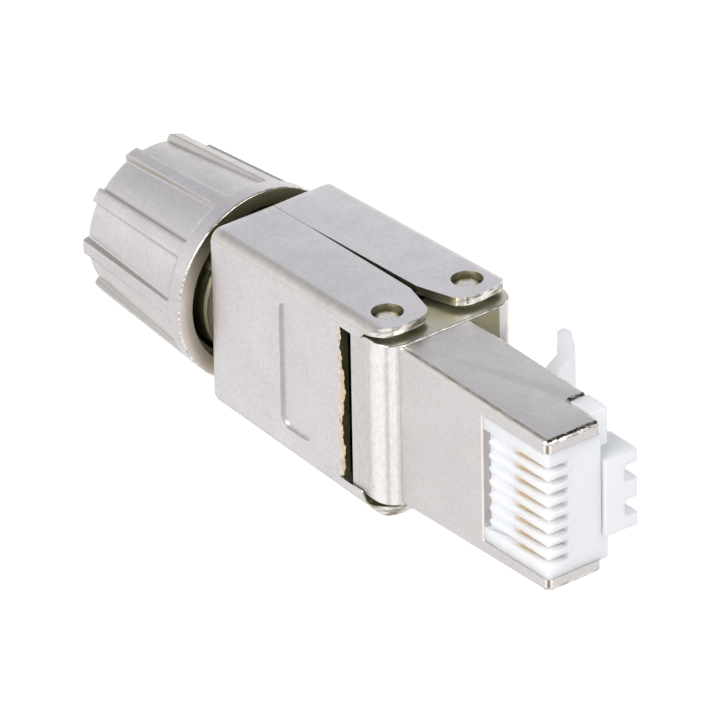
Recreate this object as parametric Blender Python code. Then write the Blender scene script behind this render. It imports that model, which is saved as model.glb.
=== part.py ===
"""Shielded modular plug for field wiring: a cast nose, two hinged housing halves and a clamping nut.

Metres, +Z up. The origin is the centre of the plug's mating face. +X points out of the nose, +Y to the
latch side, and +Z runs along the row of contacts.
"""
import math

import bmesh
import bpy
from mathutils import Vector

# Clearances
FIT = 0.0001                # flat pieces that rest on each other
SEAT = 0.0003               # loose pieces beside their seat
PIN_CLEAR = 0.00007         # round a hinge pin
BORE_CLEAR = 0.0003         # the nut round the neck, and its rings inside the nut
CUT = 0.001                 # how far a cutter reaches past what it cuts

# Plug nose, part of the casting
NOSE_HEIGHT = 0.01168       # along the contact row, at the mating face
NOSE_DRAFT = 0.00056        # taller by this at its root
NOSE_DEPTH = 0.0062         # contact side to latch side
NOSE_LENGTH = 0.0156
NOSE_EDGE_R = 0.0003
PLATE = 0.00096             # the nose's top and bottom plates
CONTACT_WALL = 0.00065
LATCH_WALL = 0.0006
WINDOW_LENGTH = 0.0069      # open contact side, from the mating face back
NOTCH_LENGTH = 0.0033       # the latch's notch in both plates
NOTCH_DEPTH = 0.0016

# Hinge bracket, part of the casting
BODY_SHIFT = 0.0015         # housing axis from the nose's mid plane
BRACKET_STEP = 0.00011      # the bracket above the nose's root
BRACKET_LENGTH = 0.0044
BRACKET_CORNER_R = 0.0017
COLUMN_WALL = 0.00107       # metal outside each pin
COLUMN_WEB = 0.00036        # metal between each pin and the passage
PASSAGE_WALL = 0.00105      # metal over and under the passage
PIN_FROM_SIDE = 0.00237     # pin axis in from the housing's side
PIN_SETBACK = 0.00286       # behind the bracket's front face
PIN_R = 0.00105
PIN_SUNK = 0.00035          # below the ears

# Housing halves
SHELL_LENGTH = 0.0172       # pin axis to rear face
SHELL_DROP = 0.00086        # lower by this at the rear
SHELL_WIDTH = 0.0116        # both halves, at the pins
SHELL_NARROWING = 0.0008    # narrower by this at the rear
SHELL_EDGE_R = 0.0009
EAR_THICK = 0.00065
EAR_GAP = 0.00039           # between an ear and the bracket
EAR_REACH = 0.00216         # ahead of the pins
EAR_CORNER_R = 0.0019
EAR_BEVEL_WIDTH = 0.001     # the inner edge slants away from the seam near the front
EAR_INNER_R = 0.0009
SIDE_WALL = 0.0009
REAR_WALL = 0.00095
SEAM_REAR = 0.0001          # V-shaped seam between the halves
SEAM_FRONT = 0.0004
SEAM_SPLIT = 0.0015         # where the slanted edge starts, behind the pins
SLOT_START = 0.00254        # side wall's front edge, behind the pins
SLOT_RIM = 0.00132          # housing left over and under the slot
RIM_END = 0.0017            # the deep rim above the slot ends here, behind the pins
PANEL_LENGTH = 0.0035
PANEL_MARGIN = 0.00237      # over and under the panel
PANEL_DEPTH = 0.0002
PANEL_FROM_REAR = 0.008
PANEL_R = 0.0008
NECK_WALL = 0.001
NECK_LENGTH = 0.0063

# Clamping nut and what it squeezes
NUT_GAP = 0.00115           # between the housing and the nut
NUT_LENGTH = 0.0122
NUT_PROUD = 0.00036         # its front edge past the housing's top
NUT_TAPER = 0.0009          # smaller by this at the rear, over the ribs
NUT_RIM = 0.00123           # flat front face
NUT_WALL = 0.0016
NUT_SEAT_TAPER = 0.001
NUT_INNER_LEDGE = 0.0006    # inner face of the end wall
NUT_MOUTH_DEPTH = 0.0009
NUT_BAND = 0.0014           # smooth band ahead of the ribs
NUT_END_WALL = 0.0012
RIB_COUNT = 10
RIB_ANGLE = math.radians(7.5)
RIB_FLANK = math.radians(3.0)
RIB_FRONT_HEIGHT = 0.00022
RIB_REAR_HEIGHT = 0.0005
GLAND_LENGTH = 0.003
GLAND_BACKLASH = 0.0014     # room ahead of the gland ring
NUT_TRAVEL = 0.0009         # how far the nut can still screw on
GROMMET_LENGTH = 0.0011
COLLAR_CLEAR = 0.0002
COLLAR_WALL = 0.00025

# Contact insert and contacts
POLES = 8
CHEEK = 0.001049            # white wall outside the outer slots
SLOT_WIDTH = 0.00055
SLOT_DEPTH = 0.00175
RIB_LENGTH = 0.00615        # ribs between the slots, from the mating face back
INSERT_LENGTH = 0.0084
INSERT_RECESS = 0.0012      # step behind the ribs, below the contact face
BLOCK_SETBACK = 0.0011      # notch blocks, behind the mating face
CONTACT_THICK = 0.00035
SUNK_FRONT = 0.00056        # blades' front end, below the contact face
SUNK_REAR = 0.00022         # and their rear end
BLADE_FRONT = 0.0008
BLADE_LENGTH = 0.0031
RAMP_FRONT = 0.0004         # slot floor behind the blades, below the contact face
RAMP_REAR = 0.00012         # and at the ribs' rear end
STRIP_THICK = 0.0003
BAR_THICK = 0.0004

# Board and wire terminals
BOARD_THICK = 0.0008
BOARD_TAIL = 0.0004         # board behind the terminal blocks
BLOCK_FROM = 0.12           # the blocks' place, in shares of the room behind the bracket
BLOCK_TO = 0.46
GROOVES = 4
GROOVE_WIDTH = 0.0011
GROOVE_DEPTH = 0.0014
BLADE_SPACE = 0.0008        # between blades
BLADE_THICK = 0.0004
FORK_GAP = 0.00035
FORK_DEPTH = 0.0011
BLADE_MARGIN = 0.0001       # pocket round a blade
BLADE_STAGGER = 0.0012
GUIDE_FROM = 0.56           # the wire guide's place, in the same shares
GUIDE_TO = 0.83
GUIDE_HOLE_R = 0.00055
GUIDE_CORNER_R = 0.0012

# Latch
NOTCH_BLOCK = 0.00294       # nose height left over and under the latch
LATCH_DROP = 0.0002         # its middle lies this far below the plug's
LATCH_PROUD = 0.0003        # ahead of the mating face
LATCH_PIVOT = (-0.0003, 0.00195)
HEAD_LENGTH = 0.0027
HEAD_OUT = 0.00445          # outer face, from the nose's mid plane
TINE_LENGTH = 0.0035
TINE_GAP_SHARE = 0.224      # of the latch's height
TINE_GAP_DEPTH = 0.0012
MID_TINE_SHARE = 0.241
ARM_PATH = ((-0.0022, 0.0039), (-0.0112, 0.00605), (-0.01265, 0.00895), (-0.0153, 0.01075))
ARM_THICK = (0.0008, 0.0012, 0.0012, 0.00085)
ARM_BEND_R = (0.0024, 0.0011)
SHOULDER_AT = 0.0074        # locking shoulders, behind the mating face
ARM_NECK_LENGTH = 0.003
ARM_NECK_SHARE = 0.552      # of the latch's height

# Sizes that follow from the ones above
NOSE_ROOT_HEIGHT = NOSE_HEIGHT + NOSE_DRAFT
BRACKET_HEIGHT = NOSE_ROOT_HEIGHT + 2 * BRACKET_STEP
PASSAGE_HEIGHT = BRACKET_HEIGHT - 2 * PASSAGE_WALL
SHELL_HEIGHT = BRACKET_HEIGHT + 2 * (EAR_THICK + EAR_GAP)
SHELL_REAR_HEIGHT = SHELL_HEIGHT - SHELL_DROP
SHELL_REAR_WIDTH = SHELL_WIDTH - SHELL_NARROWING
SLOT_HEIGHT = SHELL_HEIGHT - 2 * SLOT_RIM
PANEL_HEIGHT = SHELL_HEIGHT - 2 * PANEL_MARGIN
NUT_FRONT_R = SHELL_REAR_HEIGHT / 2 + NUT_PROUD
NUT_REAR_R = NUT_FRONT_R - NUT_TAPER
NUT_MOUTH_R = NUT_FRONT_R - NUT_RIM
NUT_BORE_R = NUT_FRONT_R - NUT_WALL
NUT_REAR_BORE_R = NUT_BORE_R - NUT_SEAT_TAPER
CABLE_HOLE_R = NUT_REAR_BORE_R - NUT_INNER_LEDGE
GLAND_BORE_R = CABLE_HOLE_R - SEAT
NECK_R = NUT_BORE_R - BORE_CLEAR
NECK_BORE_R = NECK_R - NECK_WALL
COLLAR_R = NECK_BORE_R - COLLAR_CLEAR
PIN_SPACING = SHELL_WIDTH - 2 * PIN_FROM_SIDE
PIN_HOLE_R = PIN_R + PIN_CLEAR
CAVITY_Z = NOSE_HEIGHT / 2 - PLATE
PITCH = (2 * (CAVITY_Z - CHEEK) - SLOT_WIDTH) / (POLES - 1)
LATCH_HEIGHT = NOSE_HEIGHT - 2 * NOTCH_BLOCK
TINE_GAP = TINE_GAP_SHARE * LATCH_HEIGHT
MID_TINE = MID_TINE_SHARE * LATCH_HEIGHT
ARM_NECK_HEIGHT = ARM_NECK_SHARE * LATCH_HEIGHT
BLOCK_HEIGHT = PASSAGE_HEIGHT
GROOVE_PITCH = BLOCK_HEIGHT / GROOVES
BLADE_WIDTH = GROOVE_PITCH - BLADE_SPACE

# Places that follow from the sizes above
BRACKET_FRONT_X = -NOSE_LENGTH
BRACKET_REAR_X = BRACKET_FRONT_X - BRACKET_LENGTH
PIN_X = BRACKET_FRONT_X - PIN_SETBACK
PIN_OFF = PIN_SPACING / 2
SHELL_REAR_X = PIN_X - SHELL_LENGTH
EAR_FRONT_X = PIN_X + EAR_REACH
NUT_FRONT_X = SHELL_REAR_X - NUT_GAP
NUT_REAR_X = NUT_FRONT_X - NUT_LENGTH
NECK_REAR_X = SHELL_REAR_X - NECK_LENGTH
NUT_BORE_END_X = NECK_REAR_X - NUT_TRAVEL
CONTACT_Y = -NOSE_DEPTH / 2
LATCH_Y = NOSE_DEPTH / 2
NOTCH_Y = LATCH_Y - NOTCH_DEPTH
PASSAGE_HALF = PIN_OFF - PIN_HOLE_R - COLUMN_WEB
BOARD_LOW_Y = BODY_SHIFT - PASSAGE_HALF + FIT
BOARD_HIGH_Y = BOARD_LOW_Y + BOARD_THICK
BOARD_FRONT_X = -INSERT_LENGTH - SEAT
ROOM_LENGTH = BRACKET_REAR_X - SHELL_REAR_X - REAR_WALL
BLOCK_FRONT_X = BRACKET_REAR_X - BLOCK_FROM * ROOM_LENGTH
BLOCK_REAR_X = BRACKET_REAR_X - BLOCK_TO * ROOM_LENGTH
GUIDE_FRONT_X = BRACKET_REAR_X - GUIDE_FROM * ROOM_LENGTH
GUIDE_REAR_X = BRACKET_REAR_X - GUIDE_TO * ROOM_LENGTH
BOARD_REAR_X = BLOCK_REAR_X - BOARD_TAIL
TWO_PI = 2 * math.pi
ROUND = 48                  # sides of the large round pieces
SMALL_ROUND = 24


def clear_scene():
    """Start from an empty file without closing it."""
    for old in list(bpy.data.objects):
        bpy.data.objects.remove(old, do_unlink=True)


def material(name, colour, metallic, roughness):
    """A plain Principled material."""
    made = bpy.data.materials.new(name)
    made.use_nodes = True
    shader = made.node_tree.nodes["Principled BSDF"]
    shader.inputs["Base Color"].default_value = (*colour, 1)
    shader.inputs["Metallic"].default_value = metallic
    shader.inputs["Roughness"].default_value = roughness
    return made


def make_materials():
    """The finishes, by the name each piece asks for."""
    return {
        "nickel": material("satin_nickel_zinc", (0.58, 0.56, 0.53), 1, 0.38),
        "bright": material("bright_nickel_pin", (0.62, 0.61, 0.59), 1, 0.25),
        "white": material("white_polycarbonate", (0.84, 0.86, 0.92), 0, 0.4),
        "gold": material("gold_plated_bronze", (0.60, 0.41, 0.16), 1, 0.3),
        "tin": material("tinned_steel", (0.50, 0.49, 0.47), 1, 0.45),
        "board": material("green_fibreglass", (0.03, 0.16, 0.07), 0, 0.5),
        "black": material("black_nylon", (0.03, 0.03, 0.03), 0, 0.55),
        "rubber": material("black_rubber", (0.02, 0.02, 0.02), 0, 0.85),
    }


def add_object(name, mesh_data, finish, origin=(0, 0, 0)):
    """Close a bmesh into an object whose origin is at the given point, faces pointing out."""
    bmesh.ops.recalc_face_normals(mesh_data, faces=mesh_data.faces)
    bmesh.ops.translate(mesh_data, verts=mesh_data.verts, vec=-Vector(origin))
    mesh = bpy.data.meshes.new(name)
    mesh_data.to_mesh(mesh)
    mesh_data.free()
    made = bpy.data.objects.new(name, mesh)
    made.location = origin
    bpy.context.scene.collection.objects.link(made)
    if finish:
        mesh.materials.append(finish)
    return made


def hide_tool(tool):
    """Keep a cutter out of sight: only its effect counts."""
    tool.hide_render = True
    tool.display_type = "WIRE"


def combine(target, tool, operation="DIFFERENCE"):
    """Cut, join or intersect a piece with a tool object."""
    step = target.modifiers.new(operation.lower(), "BOOLEAN")
    step.operation = operation
    step.solver = "EXACT"
    step.object = tool
    hide_tool(tool)


def smooth(piece):
    """Shade round faces smooth and keep real edges sharp."""
    piece.data.shade_smooth()
    piece.data.set_sharp_from_angle(angle=math.radians(30))


def add_rings(mesh_data, rings, closed=False):
    """Skin equal rings of points with quads; closed joins the last ring to the first, else caps both ends."""
    verts = [[mesh_data.verts.new(point) for point in ring] for ring in rings]
    count = len(verts[0])
    pairs = list(zip(verts, verts[1:]))
    if closed:
        pairs.append((verts[-1], verts[0]))
    for first, second in pairs:
        for k in range(count):
            after = (k + 1) % count
            mesh_data.faces.new((first[k], first[after], second[after], second[k]))
    if not closed:
        mesh_data.faces.new(verts[0])
        mesh_data.faces.new(reversed(verts[-1]))


def skin(name, rings, finish, origin=(0, 0, 0), closed=False):
    """One piece from one stack of rings."""
    mesh_data = bmesh.new()
    add_rings(mesh_data, rings, closed)
    return add_object(name, mesh_data, finish, origin)


def extrude(name, outline, axis, low, high, finish=None, origin=(0, 0, 0)):
    """Carry an outline of point pairs along one axis. The pairs are the other two axes, in X, Y, Z order."""
    place = {
        "x": lambda a, b, along: (along, a, b),
        "y": lambda a, b, along: (a, along, b),
        "z": lambda a, b, along: (a, b, along),
    }[axis]
    rings = [[place(a, b, along) for a, b in outline] for along in (low, high)]
    return skin(name, rings, finish, origin)


def boxes(name, corner_pairs, finish=None, origin=(0, 0, 0)):
    """Separate boxes in one object, each from its lowest and its highest corner."""
    mesh_data = bmesh.new()
    for low, high in corner_pairs:
        base = [(low[0], low[1]), (high[0], low[1]), (high[0], high[1]), (low[0], high[1])]
        add_rings(mesh_data, [[(x, y, z) for x, y in base] for z in (low[2], high[2])])
    return add_object(name, mesh_data, finish, origin)


def rounded(corners, steps=5):
    """An outline with each (a, b, radius) corner replaced by an arc."""
    outline = []
    for k, (a, b, radius) in enumerate(corners):
        here = Vector((a, b))
        if radius <= 0:
            outline.append((a, b))
            continue
        before = Vector(corners[k - 1][:2])
        after = Vector(corners[(k + 1) % len(corners)][:2])
        back = (before - here).normalized()
        ahead = (after - here).normalized()
        half = math.acos(max(-1, min(1, back.dot(ahead)))) / 2
        reach = radius / math.tan(half)
        centre = here + (back + ahead).normalized() * radius / math.sin(half)
        start = here + back * reach - centre
        end = here + ahead * reach - centre
        turn = start.angle_signed(end)
        for step in range(steps + 1):
            angle = -turn * step / steps
            cos, sin = math.cos(angle), math.sin(angle)
            outline.append((centre.x + start.x * cos - start.y * sin,
                            centre.y + start.x * sin + start.y * cos))
    return outline


def rectangle(a0, a1, b0, b1, radius=0):
    """A rectangle's outline, with round corners where a radius is given."""
    return rounded([(a0, b0, radius), (a1, b0, radius), (a1, b1, radius), (a0, b1, radius)])


def circle(a, b, radius, sides):
    """A circle's outline."""
    return [(a + radius * math.cos(TWO_PI * k / sides), b + radius * math.sin(TWO_PI * k / sides))
            for k in range(sides)]


def turned(name, profile, finish, origin_x, sides=ROUND):
    """A ring turned round the housing's axis, from a closed profile of (x, radius) points."""
    rings = []
    for k in range(sides):
        angle = TWO_PI * k / sides
        rings.append([(x, BODY_SHIFT + r * math.cos(angle), r * math.sin(angle)) for x, r in profile])
    return skin(name, rings, finish, (origin_x, BODY_SHIFT, 0), closed=True)


def mix(low, high, share):
    """The value a given share of the way from low to high."""
    return low + (high - low) * share


def shell_half_height(x):
    """The housing's half height at x: it falls evenly towards the rear."""
    return mix(SHELL_HEIGHT, SHELL_REAR_HEIGHT, (PIN_X - x) / SHELL_LENGTH) / 2


def shell_half_width(x):
    """The housing's half width at x."""
    return mix(SHELL_WIDTH, SHELL_REAR_WIDTH, (PIN_X - x) / SHELL_LENGTH) / 2


def slot_heights():
    """The middle of each contact slot along Z."""
    return [(k - (POLES - 1) / 2) * PITCH for k in range(POLES)]


def make_plug_frame(finish):
    """The casting: the nose's shell in front, and the bracket with the two pin columns behind it."""
    root_x = BRACKET_FRONT_X - CUT / 2
    rings = []
    for x, height in ((root_x, NOSE_ROOT_HEIGHT), (0, NOSE_HEIGHT)):
        section = rectangle(CONTACT_Y, LATCH_Y, -height / 2, height / 2, NOSE_EDGE_R)
        rings.append([(x, y, z) for y, z in section])
    frame = skin("plug_frame", rings, finish)
    column_half = PIN_OFF + PIN_HOLE_R + COLUMN_WALL
    bracket = extrude("bracket_block", rounded([
        (BRACKET_REAR_X, BODY_SHIFT - column_half, 0),
        (BRACKET_FRONT_X, BODY_SHIFT - column_half, BRACKET_CORNER_R),
        (BRACKET_FRONT_X, BODY_SHIFT + column_half, BRACKET_CORNER_R),
        (BRACKET_REAR_X, BODY_SHIFT + column_half, 0),
    ], 8), "z", -BRACKET_HEIGHT / 2, BRACKET_HEIGHT / 2)
    combine(frame, bracket, "UNION")
    cavity = boxes("nose_cavity", [((BRACKET_FRONT_X - CUT, CONTACT_Y + CONTACT_WALL, -CAVITY_Z),
                                    (CUT, LATCH_Y - LATCH_WALL, CAVITY_Z))])
    combine(frame, cavity)
    passage = boxes("board_passage", [
        ((BRACKET_REAR_X - CUT, BODY_SHIFT - PASSAGE_HALF, -PASSAGE_HEIGHT / 2),
         (BRACKET_FRONT_X - CUT / 2, BODY_SHIFT + PASSAGE_HALF, PASSAGE_HEIGHT / 2))])
    combine(frame, passage)
    window = boxes("contact_window", [((-WINDOW_LENGTH, CONTACT_Y - CUT, -CAVITY_Z),
                                       (2 * CUT, CONTACT_Y + 2 * CONTACT_WALL, CAVITY_Z))])
    combine(frame, window)
    notch = boxes("latch_notch", [((-NOTCH_LENGTH, NOTCH_Y, -NOSE_HEIGHT),
                                   (2 * CUT, LATCH_Y + CUT, NOSE_HEIGHT))])
    combine(frame, notch)
    for side in (-1, 1):
        bore = extrude("pin_bore", circle(PIN_X, BODY_SHIFT + side * PIN_OFF, PIN_HOLE_R, SMALL_ROUND),
                       "z", -BRACKET_HEIGHT, BRACKET_HEIGHT)
        combine(frame, bore)
    smooth(frame)


def make_insert(finish):
    """White insert: eight slots whose floors ramp up behind the blades, and the notch blocks.

    The contacts' strips run back in tunnels under the ramps.
    """
    face_y = CONTACT_Y + FIT / 2
    half = CAVITY_Z - FIT
    inner_y = LATCH_Y - LATCH_WALL - FIT
    front_y = NOTCH_Y - FIT
    wall_x = -NOTCH_LENGTH - FIT
    insert = extrude("contact_insert", rounded([
        (-INSERT_LENGTH, face_y + INSERT_RECESS, 0),
        (-WINDOW_LENGTH + FIT, face_y + INSERT_RECESS, 0),
        (-WINDOW_LENGTH + FIT, face_y, 0),
        (0, face_y, 0.0002),
        (0, front_y, 0),
        (wall_x, front_y, 0),
        (wall_x, inner_y, 0),
        (-INSERT_LENGTH, inner_y, 0),
    ]), "z", -half, half, finish)
    overlap_y = front_y - NOSE_EDGE_R
    for side in (-1, 1):
        block_low = side * (LATCH_HEIGHT / 2 + SEAT) - LATCH_DROP
        block_high = side * NOSE_HEIGHT / 2
        block = extrude("notch_block", rounded([
            (overlap_y, block_low, 0),
            (overlap_y, side * half, 0),
            (NOTCH_Y + FIT, side * half, 0),
            (NOTCH_Y + FIT, block_high, 0),
            (LATCH_Y, block_high, NOSE_EDGE_R),
            (LATCH_Y, block_low, NOSE_EDGE_R),
        ]), "x", -NOTCH_LENGTH + FIT, -BLOCK_SETBACK)
        combine(insert, block, "UNION")
    recess_half = slot_heights()[-1] + SLOT_WIDTH / 2
    recess = boxes("rib_recess", [((-INSERT_LENGTH - CUT, face_y - CUT, -recess_half),
                                   (-RIB_LENGTH, face_y + INSERT_RECESS, recess_half))])
    combine(insert, recess)
    floor_y = face_y + SLOT_DEPTH
    tunnel_y = face_y + INSERT_RECESS - FIT / 2
    ramp_x = -BLADE_FRONT - BLADE_LENGTH - FIT
    slot_outline = ((-RIB_LENGTH - CUT, face_y - CUT), (CUT, face_y - CUT), (CUT, floor_y),
                    (-BLADE_FRONT / 2, floor_y - FIT), (-INSERT_LENGTH - CUT, floor_y - FIT),
                    (-INSERT_LENGTH - CUT, tunnel_y), (ramp_x, tunnel_y),
                    (ramp_x, face_y + RAMP_FRONT), (-RIB_LENGTH - CUT, face_y + RAMP_REAR))
    mesh_data = bmesh.new()
    for z in slot_heights():
        add_rings(mesh_data, [[(x, y, z + edge) for x, y in slot_outline]
                              for edge in (-SLOT_WIDTH / 2, SLOT_WIDTH / 2)])
    slots = add_object("contact_slots", mesh_data, None)
    combine(insert, slots)
    smooth(insert)


def make_contacts(finish):
    """Sloping blades in the slots, each with a strip that runs back and steps down to the board."""
    blade_rear = -BLADE_FRONT - BLADE_LENGTH
    strip_top = CONTACT_Y + INSERT_RECESS + FIT
    deep = strip_top + STRIP_THICK
    foot_x = -INSERT_LENGTH - SEAT
    foot_y = BOARD_LOW_Y - FIT / 2
    nose_r = 0.4 * (deep - CONTACT_Y - SUNK_FRONT)
    outline = rounded([
        (-BLADE_FRONT, deep, 0),
        (-BLADE_FRONT, CONTACT_Y + SUNK_FRONT, nose_r),
        (blade_rear, CONTACT_Y + SUNK_REAR, nose_r / 4),
        (blade_rear, strip_top, 0),
        (foot_x - STRIP_THICK, strip_top, 0),
        (foot_x - STRIP_THICK, foot_y - STRIP_THICK, 0),
        (foot_x - 6 * STRIP_THICK, foot_y - STRIP_THICK, 0),
        (foot_x - 6 * STRIP_THICK, foot_y, 0),
        (foot_x, foot_y, 0),
        (foot_x, deep, 0),
    ], 3)
    for number, z in enumerate(slot_heights(), 1):
        contact = extrude(f"contact_{number}", outline, "z",
                          z - CONTACT_THICK / 2, z + CONTACT_THICK / 2, finish)
        smooth(contact)


def make_contact_bar(finish):
    """The bar that holds the contacts' strips down, deep between the window's edge and the ribs."""
    low_y = CONTACT_Y + CONTACT_WALL + FIT
    half = slot_heights()[-1] + SLOT_WIDTH / 2 - FIT
    boxes("contact_bar", [((-INSERT_LENGTH, low_y, -half), (-RIB_LENGTH - FIT, low_y + BAR_THICK, half))],
          finish)


def make_board(finish):
    """Circuit board from behind the insert, through the bracket's passage, to the terminals."""
    half = CAVITY_Z - SEAT
    boxes("circuit_board", [((BOARD_REAR_X, BOARD_LOW_Y, -half), (BOARD_FRONT_X, BOARD_HIGH_Y, half))],
          finish)


def make_terminals(finishes):
    """A grooved block on each face of the board, with four forked blades in it."""
    room = shell_half_width(BLOCK_REAR_X) - SIDE_WALL - SEAT
    depth = BOARD_LOW_Y - FIT - (BODY_SHIFT - room)
    rows = [(k - (GROOVES - 1) / 2) * GROOVE_PITCH for k in range(GROOVES)]
    mid_x = (BLOCK_FRONT_X + BLOCK_REAR_X) / 2
    number = 0
    for letter, side, start in (("a", -1, BOARD_LOW_Y - FIT), ("b", 1, BOARD_HIGH_Y + FIT)):
        end = start + side * depth
        low_y, high_y = sorted((start, end))
        block = boxes(f"idc_block_{letter}", [((BLOCK_REAR_X, low_y, -BLOCK_HEIGHT / 2),
                                               (BLOCK_FRONT_X, high_y, BLOCK_HEIGHT / 2))],
                      finishes["black"])
        groove_low, groove_high = sorted((end - side * GROOVE_DEPTH, end + side * CUT))
        grooves = boxes("wire_grooves", [
            ((BLOCK_REAR_X - CUT, groove_low, z - GROOVE_WIDTH / 2),
             (BLOCK_FRONT_X + CUT, groove_high, z + GROOVE_WIDTH / 2)) for z in rows])
        combine(block, grooves)
        pockets = []
        for k, z in enumerate(rows):
            number += 1
            x = mid_x + BLADE_STAGGER * (1 if 0 < k < GROOVES - 1 else -1)
            tip = end - side * FIT
            forked = tip - side * FORK_DEPTH
            outline = [(start, z - BLADE_WIDTH / 2), (tip, z - BLADE_WIDTH / 2), (tip, z - FORK_GAP / 2),
                       (forked, z - FORK_GAP / 2), (forked, z + FORK_GAP / 2), (tip, z + FORK_GAP / 2),
                       (tip, z + BLADE_WIDTH / 2), (start, z + BLADE_WIDTH / 2)]
            extrude(f"idc_terminal_{number}", outline, "x", x - BLADE_THICK / 2, x + BLADE_THICK / 2,
                    finishes["tin"])
            pockets.append(((x - BLADE_THICK / 2 - BLADE_MARGIN, low_y - CUT,
                             z - BLADE_WIDTH / 2 - BLADE_MARGIN),
                            (x + BLADE_THICK / 2 + BLADE_MARGIN, high_y + CUT,
                             z + BLADE_WIDTH / 2 + BLADE_MARGIN)))
        combine(block, boxes("blade_pockets", pockets))


def make_wire_guide(finish):
    """Block with a hole for each wire, trapped between the housing halves."""
    half_y = shell_half_width(GUIDE_REAR_X) - SIDE_WALL - SEAT
    half_z = shell_half_height(GUIDE_REAR_X) - EAR_THICK - SEAT
    outline = rectangle(BODY_SHIFT - half_y, BODY_SHIFT + half_y, -half_z, half_z, GUIDE_CORNER_R)
    guide = extrude("wire_guide", outline, "x", GUIDE_REAR_X, GUIDE_FRONT_X, finish)
    mesh_data = bmesh.new()
    for side in (-1, 1):
        for k in range(GROOVES):
            z = (k - (GROOVES - 1) / 2) * GROOVE_PITCH
            ring = circle(BODY_SHIFT + side * half_y / 2, z, GUIDE_HOLE_R, 10)
            add_rings(mesh_data, [[(x, a, b) for a, b in ring]
                                  for x in (GUIDE_REAR_X - CUT, GUIDE_FRONT_X + CUT)])
    combine(guide, add_object("wire_holes", mesh_data, None))


def shell_section(x, inset, side_inset, edge_r, inner):
    """A housing half's outline at x, as (distance from the housing's axis plane, z) pairs."""
    high = shell_half_height(x) - inset
    wide = shell_half_width(x) - side_inset
    return rounded([(inner, -high, 0), (wide, -high, edge_r), (wide, high, edge_r), (inner, high, 0)])


def make_shell(letter, side, finish):
    """One hinged half: a tapered C with ears over and under the bracket, and half of the neck."""
    def place(x, across, z):
        return (x, BODY_SHIFT + side * across, z)

    origin = place(PIN_X, PIN_OFF, 0)
    stations = (SHELL_REAR_X, EAR_FRONT_X + CUT)
    outer = [[place(x, a, z) for a, z in shell_section(x, 0, 0, SHELL_EDGE_R, -CUT)] for x in stations]
    shell = skin(f"shell_{letter}", outer, finish, origin)
    bevel_start = PIN_X - SEAM_SPLIT
    wide = SHELL_WIDTH / 2 + CUT
    plan = rounded([
        (SHELL_REAR_X - CUT, SEAM_REAR / 2, 0),
        (SHELL_REAR_X, SEAM_REAR / 2, 0),
        (bevel_start, SEAM_FRONT / 2, 0),
        (EAR_FRONT_X, SEAM_FRONT / 2 + EAR_BEVEL_WIDTH, EAR_INNER_R),
        (EAR_FRONT_X, SHELL_WIDTH / 2, EAR_CORNER_R),
        (bevel_start, SHELL_WIDTH / 2 + SHELL_EDGE_R / 100, 0),
        (bevel_start, wide, 0),
        (SHELL_REAR_X - CUT, wide, 0),
    ])
    plan_z = SHELL_HEIGHT
    trim = skin("shell_plan", [[place(x, a, z) for x, a in plan] for z in (-plan_z, plan_z)], None)
    combine(shell, trim, "INTERSECT")
    hollow_x = (SHELL_REAR_X + REAR_WALL, EAR_FRONT_X + 2 * CUT)
    hollow = skin("shell_hollow", [
        [place(x, a, z) for a, z in shell_section(x, EAR_THICK, SIDE_WALL, SHELL_EDGE_R / 2, -2 * CUT)]
        for x in hollow_x], None)
    combine(shell, hollow)
    slot_x = PIN_X - SLOT_START
    rim_x = PIN_X - RIM_END
    deep = SLOT_HEIGHT / 2
    shallow = SHELL_HEIGHT / 2 - EAR_THICK - FIT / 2
    front = EAR_FRONT_X + CUT
    slot_outline = [(slot_x, -deep), (rim_x, -deep), (rim_x, -shallow), (front, -shallow),
                    (front, shallow), (rim_x, shallow), (rim_x, deep), (slot_x, deep)]
    slot = skin("column_slot", [[place(x, a, z) for x, z in slot_outline] for a in (-CUT, wide + CUT)], None)
    combine(shell, slot)
    panel_x = SHELL_REAR_X + PANEL_FROM_REAR
    panel_outline = rectangle(panel_x, panel_x + PANEL_LENGTH, -PANEL_HEIGHT / 2, PANEL_HEIGHT / 2, PANEL_R)
    sunk = shell_half_width(panel_x + PANEL_LENGTH / 2) - PANEL_DEPTH
    panel = skin("side_panel", [[place(x, a, z) for x, z in panel_outline] for a in (sunk, wide)], None)
    combine(shell, panel)
    neck_in = SEAM_REAR / 2
    start = math.asin(neck_in / NECK_R)
    steps = ROUND // 2
    arc = [start + (math.pi - 2 * start) * k / steps for k in range(steps + 1)]
    half_disc = [(NECK_R * math.sin(angle), -NECK_R * math.cos(angle)) for angle in arc]
    neck_front = SHELL_REAR_X + REAR_WALL / 2
    neck = skin("neck_half", [[place(x, a, z) for a, z in half_disc] for x in (NECK_REAR_X, neck_front)], None)
    combine(shell, neck, "UNION")
    bore = extrude("neck_bore", circle(BODY_SHIFT, 0, NECK_BORE_R, ROUND), "x",
                   NECK_REAR_X - CUT, SHELL_REAR_X + REAR_WALL + CUT)
    combine(shell, bore)
    hole = extrude("ear_holes", circle(*origin[:2], PIN_HOLE_R, SMALL_ROUND), "z", -plan_z, plan_z)
    combine(shell, hole)
    smooth(shell)


def make_pin(letter, side, finish):
    """A hinge pin through both ears and its column."""
    origin = (PIN_X, BODY_SHIFT + side * PIN_OFF, 0)
    half = shell_half_height(PIN_X) - PIN_SUNK
    pin = extrude(f"pin_{letter}", circle(*origin[:2], PIN_R, SMALL_ROUND), "z", -half, half, finish, origin)
    smooth(pin)


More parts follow.
